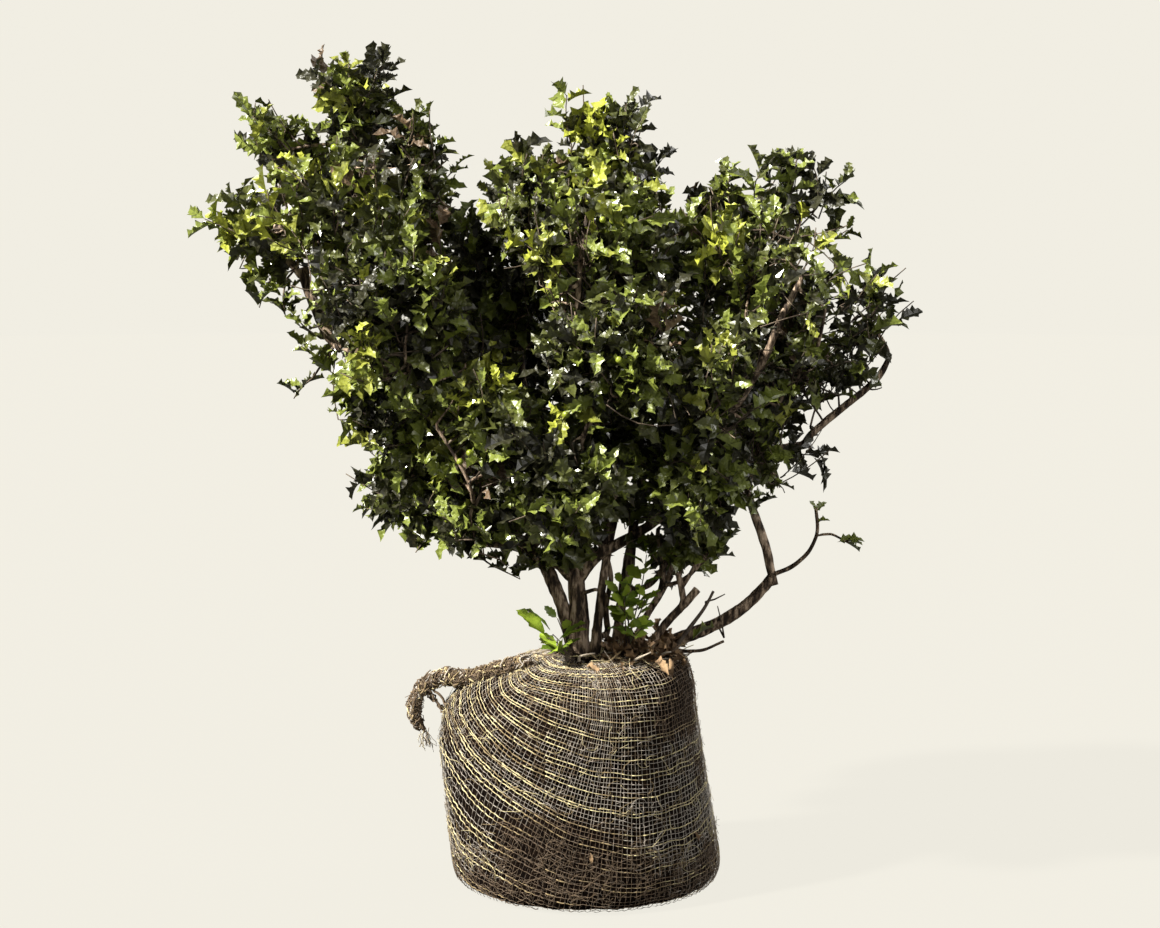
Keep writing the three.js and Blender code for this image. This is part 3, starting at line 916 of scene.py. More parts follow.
def make_sprays(shoots, leaves_each, holders, holder_radii, twigs, kinds, rng):
    """The shoots from their bases to their tips, and their leaves in batches by kind.

    The leaves of a shoot are numbered from its tip and stand round it at the golden angle."""
    bases, tips = shoots
    count = len(bases)
    length = np.linalg.norm(tips - bases, axis=1)
    forward = unit(tips - bases)
    side = unit(np.cross(forward, unit(rng.normal(size=(count, 3)))))
    bow = side * (length * rng.uniform(0.04, 0.16, count))[:, None]
    add_shoots(twigs, shoots, bow, holders, holder_radii)
    start = rng.uniform(0, 2 * math.pi, count)
    second = np.cross(forward, side)
    gathered = {}
    for number in range(leaves_each.max()):
        has = number < leaves_each
        many = has.sum()
        share = np.clip((1 - (number + 0.2) / leaves_each[has]) * 0.95 + 0.05, 0, 1)
        turn = start[has] + number * GOLDEN_ANGLE + rng.normal(scale=0.25, size=many)
        radial = side[has] * np.cos(turn)[:, None] + second[has] * np.sin(turn)[:, None]
        spread = np.radians(32 + 40 * (1 - share) + rng.normal(scale=9, size=many))[:, None]
        axes = forward[has] * np.cos(spread) + radial * np.sin(spread)
        axes[:, 2] += rng.normal(scale=0.12, size=many)
        up = unit(forward[has] * np.sin(spread) - radial * np.cos(spread))
        up = up * 0.6 + TOWARDS_LIGHT + rng.normal(scale=0.5, size=up.shape)
        origins = bases[has] + (tips - bases)[has] * share[:, None]
        origins += bow[has] * np.sin(share * math.pi)[:, None]
        grown = 0.72 + 0.28 * min((number + 1) / 3, 1)
        sizes = LEAF_LENGTH * grown * rng.uniform(0.6, 1.25, many)
        origins += unit(axes) * (STALK * sizes)[:, None]
        dealt = leaf_kinds(kinds[has], number, rng)
        for kind in np.unique(dealt):
            mine = dealt == kind
            gathered.setdefault(kind, []).append((origins[mine], axes[mine], up[mine], sizes[mine]))
    return gathered


def leaf_pieces(gathered, rng):
    """The joined leaves of each kind. The first piece replaces the masses."""
    replaced = MASSES
    for kind, batches in gathered.items():
        name = KIND_NAMES[kind]
        colour, roughness, coat, _ = LEAF_KINDS[name]
        surface = Surface()
        add_leaves(surface, HOLLY_TEMPLATES, *(np.concatenate(part) for part in zip(*batches)), rng)
        material = leaf_material("leaf_" + name, colour, roughness, coat)
        surface.piece("leaves_" + name, material, "leaf", replaced, smooth=False)
        replaced = ()


def kept_leaves(batch, crown, lines):
    """The leaves that stay within the crown's outline and clear of the limbs that show."""
    origins, axes, up, sizes = batch
    tips = origins + unit(axes) * sizes[:, None]
    keep = outside_by(tips, crown) < OVERHANG
    middles = (origins + tips) / 2
    for part in (origins, middles, tips):
        keep &= ~in_sky_gap(part)
    keep &= ~in_openings(middles)
    bare = [(lines[name][:, :3], clearance) for name, clearance in BARE_LIMBS.items()]
    bare += [(np.array(line[1:]) * MM, 4 + foot) for line, foot, _ in SHOWN]
    for line, clearance in bare:
        line = resample(line, 6 * MM)
        for part in (origins, middles, tips):
            apart = part[:, None] - line[None]
            beside = np.hypot(apart[..., 0], apart[..., 2]) < clearance * MM
            ahead = (apart[..., 1] > -VIEW_DEPTH) & (apart[..., 1] < 8 * MM)
            keep &= ~(beside & ahead).any(axis=1)
    return origins[keep], axes[keep], up[keep], sizes[keep]


def make_crown(lines, bark, twig_bark):
    """Boughs, twigs, leaves and berries in place of the masses. Returns the branching points."""
    rng = np.random.default_rng(SEED + 1)
    crown = tree_of(MASSES)
    outer = outer_shoots(crown, rng)
    inner = inner_shoots(crown, rng)
    sprigs = [np.array(ends) * MM for ends in zip(*SPRIGS)]
    counts = len(outer[0]), len(inner[0]), len(SPRIGS)
    bases, tips = (np.vstack(ends) for ends in zip(outer, inner, sprigs))

    tree = start_branching(lines)
    holder = tree.grow(bases, 15 * MM, 17 * MM, 90, np.random.default_rng(SEED + 3))
    loads = np.bincount(holder, minlength=len(tree.points)).astype(float)
    radii = tree.radii(loads, TIP_RADIUS)
    twigs = make_branches(tree, radii, visible_points(tree, lines), bark)
    points = np.array(tree.points)

    ranges = LEAVES_OUTSIDE, LEAVES_INSIDE, LEAVES_ON_SPRIG
    leaves_each = np.concatenate([rng.integers(*span, count) for span, count in zip(ranges, counts)])
    kinds = kinds_by_spray(tips, rng)
    # The shoots deep inside the crown take only the two darkest kinds: painted shade in the crown's interior.
    deep, dark = KIND_NAMES.index("deep"), KIND_NAMES.index("dark")
    kinds[counts[0]:counts[0] + counts[1]] = np.where(rng.random(counts[1]) < 0.5, deep, dark)

    gathered = {kind: [] for kind in range(len(KIND_NAMES))}
    last = counts[0] + counts[1]
    for part in (slice(0, last), slice(last, None)):
        shoots = bases[part], tips[part]
        found = make_sprays(
            shoots, leaves_each[part], points[holder[part]], radii[holder[part]], twigs, kinds[part], rng
        )
        for kind, batches in found.items():
            if part.start < last:
                batches = [kept_leaves(batch, crown, lines) for batch in batches]
            gathered[kind] += batches
    twigs.piece("twigs", twig_bark, "bark")
    leaf_pieces(gathered, rng)
    make_berries(*outer)
    return points


# ------------------------------------------------------------------ sprouts, odd leaves and berries

# Stems of the plain-leaved sprouts, in millimetres, with how many leaves each bears and their length.
SPROUT_STEMS = {
    "left_sprout": [
        ([(-16, -40, 296), (-26, -46, 312), (-40, -50, 320)], 3, 48),
        ([(-16, -40, 298), (-24, -46, 314), (-34, -48, 324)], 3, 42),
        ([(-16, -44, 294), (-24, -52, 302), (-28, -56, 304)], 4, 32),
        ([(-14, -36, 298), (-20, -38, 322), (-28, -38, 342)], 3, 20),
    ],
    "right_sprout": [
        ([(58, -50, 300), (56, -58, 336), (54, -60, 376)], 15, 27),
        ([(56, -46, 296), (66, -52, 340), (78, -54, 392), (82, -52, 424)], 15, 30),
        ([(60, -50, 310), (68, -60, 324), (76, -62, 334)], 6, 22),
        ([(60, -44, 340), (48, -54, 366), (50, -54, 388)], 8, 24),
        ([(62, -50, 330), (74, -62, 352), (80, -64, 372)], 7, 24),
    ],
}
# Leaves on the bare twigs and the low bough: where each stands, which way it points, and its length.
ODD_LEAVES = [
    ((320, -50, 440), (1, -0.2, 0.25), 30), ((324, -50, 441), (0.7, 0.1, -0.35), 26),
    ((326, -50, 441), (0.8, -0.5, 0.1), 24), ((292, -36, 474), (-0.3, -0.2, 1), 17),
    ((292, -35, 476), (0.7, 0.1, 0.8), 18), ((294, -34, 462), (0.9, -0.3, 0.5), 15),
    ((168, -16, 327), (-0.9, -0.35, 0.0), 30),
]
# Leafy twigs that hang at the crown's hem, in millimetres, with their leaves and leaf length.
HEM_TWIGS = [
    ([(-136, -34, 432), (-116, -40, 412), (-94, -42, 402), (-74, -42, 392)], 7, 30),
    ([(-70, -28, 430), (-58, -40, 412), (-40, -48, 398)], 8, 32),
    ([(-40, -20, 428), (-30, -44, 412), (-14, -50, 398)], 9, 32),
    ([(-20, -10, 424), (-6, -40, 418), (4, -52, 404)], 9, 30),
    ([(-64, -10, 424), (-50, 10, 404), (-36, 22, 392)], 8, 32),
    ([(-10, 10, 424), (6, 30, 410), (16, 36, 398)], 8, 30),
    ([(128, -34, 452), (142, -36, 436), (156, -38, 416)], 9, 34),
    ([(120, -32, 446), (148, -40, 440), (176, -44, 428)], 9, 34),
    ([(150, -30, 408), (162, -36, 420), (174, -38, 436)], 7, 32),
    ([(110, -10, 440), (124, 4, 424), (140, 10, 410)], 8, 32),
    ([(60, -20, 446), (84, -40, 430), (96, -46, 414)], 8, 30),
    ([(200, 0, 500), (214, -20, 484), (222, -30, 470)], 7, 30),
    ([(60, -20, 506), (58, -40, 484), (62, -46, 460)], 12, 32),
    ([(74, 20, 508), (68, 10, 484), (60, 0, 462)], 12, 32),
    ([(40, 0, 492), (52, -30, 474), (56, -40, 454)], 9, 30),
    ([(-316, -48, 690), (-334, -54, 702), (-346, -56, 716)], 6, 27),
    ([(-308, -50, 666), (-326, -58, 670), (-340, -60, 682)], 7, 28),
    ([(-372, -40, 772), (-386, -44, 750), (-392, -46, 728)], 9, 30),
    ([(-358, -40, 764), (-364, -46, 742), (-360, -48, 718)], 8, 28),
    ([(-330, -30, 640), (-344, -36, 630), (-352, -40, 616)], 6, 27),
    ([(-180, -20, 452), (-196, -30, 436), (-204, -34, 424)], 7, 30),
    ([(286, -12, 578), (292, -14, 604), (306, -18, 632), (308, -20, 652)], 7, 27),
    ([(322, -10, 604), (320, -12, 628), (312, -16, 644)], 4, 24),
    ([(336, -10, 612), (334, -12, 642), (329, -18, 674), (334, -22, 700)], 9, 28),
    ([(352, -8, 628), (364, -14, 624), (374, -18, 628)], 3, 30),
    ([(248, -20, 556), (250, -24, 574), (252, -28, 592)], 5, 26),
]
# Bare prongs of the dead twigs.
PRONGS = [
    [(157, -20, 360), (168, -20, 363), (181, -22, 370)],
    [(181, -6, 312), (178, -12, 330), (172, -16, 354)],
]


def leaves_on(stem, count, size, rng):
    """Leaves that leave a stem at the golden angle, from a third of the way up to its tip."""
    shares = np.linspace(0.3, 1, count)
    along = np.linspace(0, 1, len(stem))
    origins = np.stack([np.interp(shares, along, stem[:, axis]) for axis in range(3)], axis=1)
    turn = np.arange(count) * GOLDEN_ANGLE + rng.uniform(0, 6)
    outward = np.stack([np.cos(turn), np.sin(turn), np.zeros(count)], axis=1)
    axes = unit(outward + np.linspace(0.3, 1.0, count)[:, None] * [0, 0, 1])
    up = np.array([-0.25, -0.5, 0.8]) + rng.normal(scale=0.35, size=(count, 3))
    sizes = size * rng.uniform(0.75, 1.1, count)
    return origins + axes * (STALK * sizes)[:, None], axes, up, sizes


def add_leafy_stem(wood, surfaces, templates, line, count, size, radii, first_share, rng):
    """A stem with its leaves, the first surface getting this share of them. Returns the stem's foot."""
    stem = resample(rounded(np.array(line) * MM), 6 * MM)
    wood.add_tube(stem, np.linspace(*radii, len(stem)) * MM, 5)
    leaves = leaves_on(stem, count, size * MM, rng)
    first = rng.random(count) < first_share
    for surface, mine in zip(surfaces, (first, ~first)):
        if mine.any():
            add_leaves(surface, templates, *(part[mine] for part in leaves), rng)
    return stem[0]


def make_sprouts(twig_bark):
    """The plain-leaved sprouts at the foot of the stems, rooted in the soil. Most of their leaves are young
    and pale, and are painted lighter still, standing for sunlight that the crown keeps off them.
    """
    rng = np.random.default_rng(SEED + 60)
    ground = tree_of(["soil_ball"])
    # The bright sprout colour is painted light as well as the pale green of young leaves.
    bright = leaf_material("leaf_sprout", (0.27, 0.37, 0.035), 0.42, 0.1, 1.0 * MM)
    plain = leaf_material("leaf_sprout_old", (0.14, 0.21, 0.022), 0.42, 0.1, 1.0 * MM)
    for name, stems in SPROUT_STEMS.items():
        young, old, wood = Surface(), Surface(), Surface()
        for line, count, size in stems:
            foot = add_leafy_stem(
                wood, (young, old), SPROUT_TEMPLATES, line, count, size, (1.1, 0.6), 0.6, rng
            )
            soil = ground.ray_cast(Vector(foot), Vector((0, 0, -1)))[0]
            wood.add_tube(np.array([np.array(soil) - [0, 0, 3 * MM], foot]), 1.1 * MM, 5)
        young.piece(name + "_young_painted_light_leaves", bright, "sprout", [name])
        old.piece(name + "_old_leaves", plain, "sprout")
        wood.piece(name + "_stems", twig_bark, "bark")


def add_lead(wood, holders, foot, radius):
    """The start of a twig, from the nearest point of the wood that bears it to the twig's foot."""
    nearest = holders[np.argmin(np.sum((holders - foot) ** 2, axis=1))]
    wood.add_tube(np.array([nearest, foot]), radius, 5)


def make_hem(twig_bark, holders):
    """Single leaves on the bare twigs, leafy twigs at the crown's hem, and the dead twigs' prongs."""
    rng = np.random.default_rng(SEED + 61)
    middle, dark, wood = Surface(), Surface(), Surface()
    places, axes, sizes = (np.array(part, dtype=float) for part in zip(*ODD_LEAVES))
    up = np.array([-0.3, -0.6, 0.9]) + rng.normal(scale=0.3, size=axes.shape)
    add_leaves(middle, HOLLY_TEMPLATES, places * MM, axes, up, sizes * MM, rng)
    for place in places * MM:
        add_lead(wood, holders, place, 0.5 * MM)
    for twig in HEM_TWIGS:
        foot = add_leafy_stem(wood, (middle, dark), HOLLY_TEMPLATES, *twig, (1.5, 0.7), 0.35, rng)
        add_lead(wood, holders, foot, 1.5 * MM)
    for line in PRONGS:
        add_lead(wood, holders, np.array(line[0]) * MM, 1.3 * MM)
        wood.add_tube(np.array(line) * MM, np.array([1.3, 1.1, 0.7]) * MM, 5)
    for name, surface in (("middle", middle), ("dark", dark)):
        colour, roughness, coat, _ = LEAF_KINDS[name]
        material = leaf_material("leaf_hem_" + name, colour, roughness, coat)
        surface.piece("hem_leaves_" + name, material, "leaf")
    wood.piece("hem_twigs", twig_bark, "bark")


def berry_template(rings=6, sides=9):
    """A small round berry, one across."""
    turns = np.arange(sides) / sides * 2 * math.pi
    tilts = np.arange(1, rings) / rings * math.pi
    rows = [
        [math.sin(tilt) * math.cos(turn), math.sin(tilt) * math.sin(turn), math.cos(tilt)]
        for tilt in tilts for turn in turns
    ]
    points = np.array([[0, 0, 1.0], *rows, [0, 0, -1.0]]) / 2
    faces = []
    last = len(points) - 1
    for side in range(sides):
        after = (side + 1) % sides
        faces.append([0, 1 + side, 1 + after])
        faces.append([last, 1 + (rings - 2) * sides + after, 1 + (rings - 2) * sides + side])
        for ring in range(rings - 2):
            a, b = 1 + ring * sides + side, 1 + ring * sides + after
            faces += [[a, a + sides, b + sides], [a, b + sides, b]]
    return points, np.array(faces)


# Where berries gather on the viewer's side, in millimetres, and the share of shoots elsewhere that bear them.
BERRY_SPOTS = [(28, 625, 60), (90, 790, 30), (-150, 560, 30)]
BERRY_SHARE = 0.012


def make_berries(bases, tips):
    """Unripe berries in ones to threes on the shoots near a few spots, and here and there elsewhere."""
    rng = np.random.default_rng(SEED + 62)
    chosen = rng.random(len(tips)) < BERRY_SHARE
    for across, up, spread in BERRY_SPOTS:
        near = np.hypot(tips[:, 0] - across * MM, tips[:, 2] - up * MM) < spread * MM
        chosen |= near & (tips[:, 1] < -60 * MM) & (rng.random(len(tips)) < 0.6)
    outward = unit(tips - CROWN_HEART)
    points, faces = berry_template()
    surface = Surface()
    for row in np.flatnonzero(chosen):
        for _ in range(rng.integers(1, 4)):
            share = rng.uniform(0.5, 1.0)
            foot = bases[row] + (tips[row] - bases[row]) * share
            middle = foot + outward[row] * rng.uniform(5, 14) * MM
            middle = middle + rng.normal(scale=6 * MM, size=3)
            surface.add_tube(np.array([foot, middle]), 0.5 * MM, 3)
            surface.add(middle + points * rng.uniform(7.5, 9.5) * MM, faces)
    surface.piece("berries", leaf_material("berry", (0.25, 0.3, 0.03), 0.3, 0.3), "leaf")


# ------------------------------------------------------------------ root ball: its surface as a table

# The mouth that the stems come out of, and the points the neck of the net runs through, as the CAD has them.
MOUTH = np.array([48.0, 0.0]) * MM
MOUTH_RADIUS = 66 * MM
ROPE_PATH = np.array([
    [-52, -46, 286], [-66, -44, 288], [-100, -38, 280], [-142, -26, 262], [-170, -16, 267],
    [-196, -10, 254], [-211, -8, 229], [-206, -8, 206], [-195, -10, 192],
]) * MM
# Where the net is drawn up into a ridge below its neck, how far it reaches and how high it stands.
SHOULDER_RIDGE = np.array([-150, -20, 245]) * MM
RIDGE_REACH = 70 * MM
RIDGE_HEIGHT = 9 * MM


class BallSurface:
    """The ball's skin by azimuth and height along the skin.

    Azimuth is 0 on the viewer's side and grows to the right. The level runs up each meridian and is the
    height above the floor at LEVEL_FROM; over the shoulder it goes on growing as far as the mouth."""

    LEVEL_FROM = 100 * MM
    LEVELS = np.arange(-41, 400, 3) * MM
    TURNS = np.radians(np.arange(-180, 180, 3))
    TILTS = np.radians(np.arange(-66, 89, 2))
    # The rays that feel for the skin start this far out, from round an axis a little right of the middle.
    RAY_START = 0.6
    AXIS_SHIFT = 6 * MM
    SMOOTHING_PASSES = 12
    LOWEST = 1.2 * MM

    def __init__(self):
        low, high = (np.array(corner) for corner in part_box("net_sack"))
        centre = np.array([(low[0] + high[0]) / 2 + self.AXIS_SHIFT, 0, high[2] / 2])
        tree = tree_of(["net_sack", "soil_ball"])
        turn, tilt = np.meshgrid(self.TURNS, self.TILTS, indexing="ij")
        rays = np.stack([np.sin(turn) * np.cos(tilt), -np.cos(turn) * np.cos(tilt), np.sin(tilt)], axis=-1)
        reach = np.empty(turn.shape)
        for place in np.ndindex(turn.shape):
            start = centre + rays[place] * self.RAY_START
            hit = tree.ray_cast(Vector(start), Vector(-rays[place]))[0]
            reach[place] = np.linalg.norm(np.array(hit) - centre)
        for _ in range(self.SMOOTHING_PASSES):
            reach = (np.roll(reach, 1, axis=0) + 2 * reach + np.roll(reach, -1, axis=0)) / 4
        reach[:, 1:-1] = (reach[:, :-2] + 2 * reach[:, 1:-1] + reach[:, 2:]) / 4
        skin = centre + rays * reach[..., None]
        ridge = np.linalg.norm((skin - SHOULDER_RIDGE) / [1.1, 1.2, 0.8], axis=-1) / RIDGE_REACH
        skin += rays * (RIDGE_HEIGHT * np.clip(1 - ridge ** 2, 0, 1) ** 2)[..., None]
        skin[..., 2] = np.maximum(skin[..., 2], self.LOWEST)
        self.table = np.empty((len(self.TURNS), len(self.LEVELS), 3))
        for row, meridian in enumerate(skin):
            along = np.concatenate([[0], np.cumsum(np.linalg.norm(np.diff(meridian, axis=0), axis=1))])
            wall = slice(0, len(meridian) // 2)
            along += self.LEVEL_FROM - np.interp(self.LEVEL_FROM, meridian[wall, 2], along[wall])
            for axis in range(3):
                self.table[row, :, axis] = np.interp(self.LEVELS, along, meridian[:, axis])
        around = np.roll(self.table, -1, axis=0) - np.roll(self.table, 1, axis=0)
        upward = np.gradient(self.table, axis=1)
        self.normals = unit(np.cross(around, upward))

    def look_up(self, table, turn, level):
        """The table's values between its entries."""
        across = (turn - self.TURNS[0]) / (self.TURNS[1] - self.TURNS[0])
        along = (level - self.LEVELS[0]) / (self.LEVELS[1] - self.LEVELS[0])
        along = np.clip(along, 0, len(self.LEVELS) - 1.001)
        column, row = np.floor(across).astype(int), np.floor(along).astype(int)
        share_across, share_along = (across - column)[..., None], (along - row)[..., None]
        near, far = column % len(self.TURNS), (column + 1) % len(self.TURNS)
        lower = table[near, row] * (1 - share_across) + table[far, row] * share_across
        upper = table[near, row + 1] * (1 - share_across) + table[far, row + 1] * share_across
        return lower * (1 - share_along) + upper * share_along

    def point(self, turn, level, lift=0.0):
        """The point on the skin at this azimuth and level, lifted off it along the normal."""
        normal = unit(self.look_up(self.normals, turn, level))
        found = self.look_up(self.table, turn, level) + normal * np.asarray(lift)[..., None]
        found[..., 2] = np.maximum(found[..., 2], 0.8 * MM)
        return found


def outside_mouth(points, margin=0.0):
    """Whether each point lies farther out than the mouth's rim."""
    return np.linalg.norm(points[..., :2] - MOUTH, axis=-1) > MOUTH_RADIUS + margin


# ------------------------------------------------------------------ root ball: the net

NECK_TURN = math.radians(-80)
WARPS = 152
WEFT_SPACING = 5.6 * MM
# The net is made in runs of this many points, one step apart, and goes under or over once in a crossing.
NET_STEP = 3.3 * MM
RUN_POINTS = 5
CROSSING = 5.2 * MM
FIBRES = 2900
BALL_RADIUS = 0.15
# The net's colours, each with its roughness.
THREADS = {
    "grey": ((0.38, 0.34, 0.29), 0.85),
    "pale": ((0.4, 0.345, 0.265), 0.85),
    "straw": ((0.64, 0.55, 0.3), 0.7),
    "dull_straw": ((0.27, 0.2, 0.1), 0.8),
    "brown": ((0.15, 0.105, 0.065), 0.9),
    "soiled": ((0.1, 0.068, 0.04), 0.95),
}
# How far each weft is drawn up at the neck of the net, against its level on the slack side.
DRAWN_UP = np.array([[-20, 45], [0, 64], [70, 155], [105, 150], [220, 112], [345, 34]]) * MM


def pull(turn):
    """How strongly the net is drawn up here: 1 at the neck, next to 0 at a quarter turn, a little behind."""
    apart = np.degrees(np.abs((turn - NECK_TURN + math.pi) % (2 * math.pi) - math.pi))
    near = np.clip(1 - apart / 104, 0, 1) ** 1.5
    far = 0.13 * np.clip((apart - 75) / 105, 0, 1) ** 2
    return near + far


def drawn_level(slack, turn):
    """The level of a weft where it passes this azimuth."""
    return slack + np.interp(slack, DRAWN_UP[:, 0], DRAWN_UP[:, 1]) * pull(turn)


def warp_lines(rng):
    """Warps climb from the foot to the mouth, dragged over towards the slack side as they near the neck."""
    level = np.arange(-24 * MM, 390 * MM, NET_STEP)
    foot = np.radians(np.arange(WARPS) * 360 / WARPS - 180)
    foot += rng.normal(scale=math.radians(0.25), size=WARPS)
    apart = np.degrees((foot - NECK_TURN - math.radians(25) + math.pi) % (2 * math.pi) - math.pi)
    dragged = math.radians(30) * np.cos(np.radians(np.clip(apart, -90, 90))) ** 2
    turn = foot[:, None] + dragged[:, None] * np.clip(level / (200 * MM), 0, 1.2)
    return turn, np.broadcast_to(level, turn.shape)


def weft_lines(skin, rng):
    """Wefts go round the ball, each at its own slack level."""
    slack = np.arange(-18, 345, WEFT_SPACING / MM) * MM
    slack += rng.normal(scale=0.12 * WEFT_SPACING, size=len(slack))
    turn = np.linspace(-math.pi, math.pi, int(1.02 / NET_STEP))
    turn = np.broadcast_to(turn, (len(slack), len(turn)))
    level = drawn_level(slack[:, None], turn)
    even = skin.point(turn, level)
    wander = smooth_noise(even, 0.11, 90) * 2.2 + smooth_noise(even, 0.035, 91) * 0.9
    return turn, level + wander * MM


def add_net(surfaces, skin):
    """The woven net in short runs of thread, each run dealt to clean or soiled thread by where it lies."""
    rng = np.random.default_rng(SEED + 40)
    warps, wefts = warp_lines(rng), weft_lines(skin, rng)
    for kind, (turn, level) in (("warp", warps), ("weft", wefts)):
        count, length = turn.shape
        phase = np.arange(length)[None] * NET_STEP / CROSSING + np.arange(count)[:, None]
        weave = np.sin(phase * math.pi)
        lift = (0.7 + 0.8 * weave if kind == "weft" else 0.45 - 0.35 * weave) * MM
        lift = lift + rng.normal(scale=0.12 * MM, size=lift.shape)
        points = skin.point(turn, level, lift)
        clear = outside_mouth(points, rng.normal(scale=3 * MM, size=(count, 1)))
        clear &= points[..., 2] > 2.5 * MM
        for start in range(0, length - RUN_POINTS + 1, RUN_POINTS - 1):
            run = slice(start, start + RUN_POINTS)
            keep = clear[:, run].all(axis=1)
            keep &= np.linalg.norm(points[:, start] - points[:, run.stop - 1], axis=1) > 4 * MM
            deal_threads(surfaces, points[keep, run], np.flatnonzero(keep), kind, rng)


def deal_threads(surfaces, lines, numbers, kind, rng):
    """Runs of thread by colour: straw wefts in pairs, grey between them, pale on the crest as painted light
    on the ball's sunlit top, brown in dirt.
    """
    middles = lines.mean(axis=1)
    count = len(lines)
    soiled = soiling(middles) + rng.normal(scale=0.12, size=count)
    straw = np.zeros(count, dtype=bool)
    if kind == "weft":
        drawn = middles[:, 0] < -10 * MM
        straw = (numbers % 4 < 2) & ((numbers % 8 < 4) | (numbers % 4 < 1) | drawn)
    names = np.where(straw, "straw", "grey")
    # Paler threads on the crest, mixed with grey and brown: the pale ones are painted light where the sun
    # falls on the ball's top.
    crest = middles[:, 2] > 195 * MM + rng.normal(scale=22 * MM, size=count)
    crested = rng.choice(["pale", "grey", "brown"], count, p=[0.42, 0.2, 0.38])
    names = np.where(crest & ~straw, crested, names)
    names = np.where(crest & straw & (rng.random(count) < 0.3), "dull_straw", names)
    names = np.where((soiled > 0.35) & ~straw, "brown", names)
    names = np.where((soiled + rng.exponential(0.22, count) > 0.55) & straw, "dull_straw", names)
    names = np.where(soiled > 0.95, "soiled", names)
    lean = np.clip(0.5 - middles[:, 0] / 0.16, 0, 1)
    thick = np.where(straw, 0.56 + 0.16 * lean, 0.38) * MM * rng.uniform(0.75, 1.2, count)
    for name in np.unique(names):
        mine = names == name
        radii = thick[mine][:, None] * rng.uniform(0.6, 1.35, lines[mine].shape[:2])
        surfaces[name].add_tubes(lines[mine], radii, 3)


def blot(points, centre, stretch, reach):
    """1 in the middle of a blot, falling to 0 at its reach."""
    return np.clip(1 - np.linalg.norm((points - np.array(centre)) / stretch, axis=-1) / reach, 0, 1)


def soiling(points):
    """How dark the net's threads are: dirty most along the foot, in patches, and where leaf litter lies by
    the mouth, and darker in a band on the right of the shoulder.
    """
    foot = np.clip(1 - points[..., 2] / (75 * MM), 0, 1)
    low = np.clip(1 - points[..., 2] / (18 * MM), 0, 1)
    litter = blot(points, [0.125, -0.045, 0.265], [1, 1, 1], 0.075)
    # A darker band on the right of the shoulder.
    shoulder = blot(points, [0.12, -0.1, 0.22], [0.9, 1, 0.7], 0.07)
    front = blot(points, [-0.03, -0.16, 0.085], [1.3, 1, 0.8], 0.075)
    wide = np.clip(1.3 - np.linalg.norm((points - [-0.02, -0.2, 0.05]) / [0.1, 1, 0.075], axis=-1), 0, 1)
    dirt = 0.75 * foot + 0.5 * wide + 0.6 * low + 1.5 * litter + 1.1 * shoulder + 0.7 * front
    return dirt + 0.3 * smooth_noise(points, 0.09, 77)


def add_fibres(surfaces, skin):
    """Loose hairs of the net that lie on it or stand a little proud, more of them near the foot."""
    rng = np.random.default_rng(SEED + 41)
    turn = rng.uniform(-math.pi, math.pi, FIBRES)
    by_foot = rng.random(FIBRES) < 0.4
    level = np.where(by_foot, rng.uniform(8, 80, FIBRES), rng.uniform(10, 340, FIBRES)) * MM
    heading = rng.uniform(0, 2 * math.pi, FIBRES)
    length = rng.uniform(8, 26, FIBRES) * MM
    bend = rng.normal(scale=1.2, size=FIBRES)
    steps = np.linspace(0, 1, 5)
    angle = heading[:, None] + bend[:, None] * steps
    turns = turn[:, None] + np.cos(angle) * length[:, None] * steps / BALL_RADIUS
    levels = level[:, None] + np.sin(angle) * length[:, None] * steps
    proud = rng.uniform(0.6, 2.2, (FIBRES, 1)) + rng.exponential(2.0, (FIBRES, 1)) * np.abs(steps - 0.4)
    proud = np.where(level[:, None] < 60 * MM, np.minimum(proud, 2.0), proud)
    points = skin.point(turns, levels, proud * MM)
    keep = outside_mouth(points, -12 * MM).all(axis=1) & (points[..., 2] > 8 * MM).all(axis=1)
    points = points[keep]
    names = rng.choice(["grey", "dull_straw", "brown", "straw"], len(points), p=[0.3, 0.25, 0.3, 0.15])
    foul = soiling(points.mean(axis=1)) > 0.3
    names = np.where(foul, rng.choice(["soiled", "brown"], len(points)), names)
    for name in np.unique(names):
        mine = points[names == name]
        surfaces[name].add_tubes(mine, np.full(mine.shape[:2], 0.26 * MM), 3)


def make_soil(skin, material):
    """The earth under the net: a closed lumpy skin just inside it, whose top shows in the mouth."""
    turns = np.radians(np.arange(-180, 180, 3.0))
    levels = np.append(np.arange(-40, 385, 5.0), 398) * MM
    turn, level = np.meshgrid(turns, levels, indexing="ij")
    even = skin.point(turn, level)
    lumps = 0.6 * smooth_noise(even, 0.04, 60) + 0.5 * smooth_noise(even, 0.015, 61)
    points = skin.point(turn, level, (-2.6 + 1.2 * lumps) * MM)
    points[..., 2] = np.maximum(points[..., 2], 0.4 * MM)
    index = np.arange(turn.size).reshape(turn.shape)
    surface = Surface()
    surface.add(points, ring_walls(index.T[None]))
    sides = len(turns)
    for ring, order in ((points[:, 0], 1), (points[:, -1], -1)):
        fan = [[sides, (side + 1) % sides, side][::order] for side in range(sides)]
        surface.add(np.vstack([ring, ring.mean(axis=0)]), np.array(fan))
    surface.piece("soil", material, "soil", ["soil_ball"])


# ------------------------------------------------------------------ root ball: neck of the net and litter

OUTER_STRANDS = 9
INNER_STRANDS = 4
STRAND_THREADS = ("brown", "soiled", "soiled", "grey", "soiled", "dull_straw")
ROPE_FIBRES = 420
# Where the threads that leave the rope's hanging end reach the sack.
TIE_END = np.array([-158, -10, 212]) * MM
FRAYED_THREADS = 26


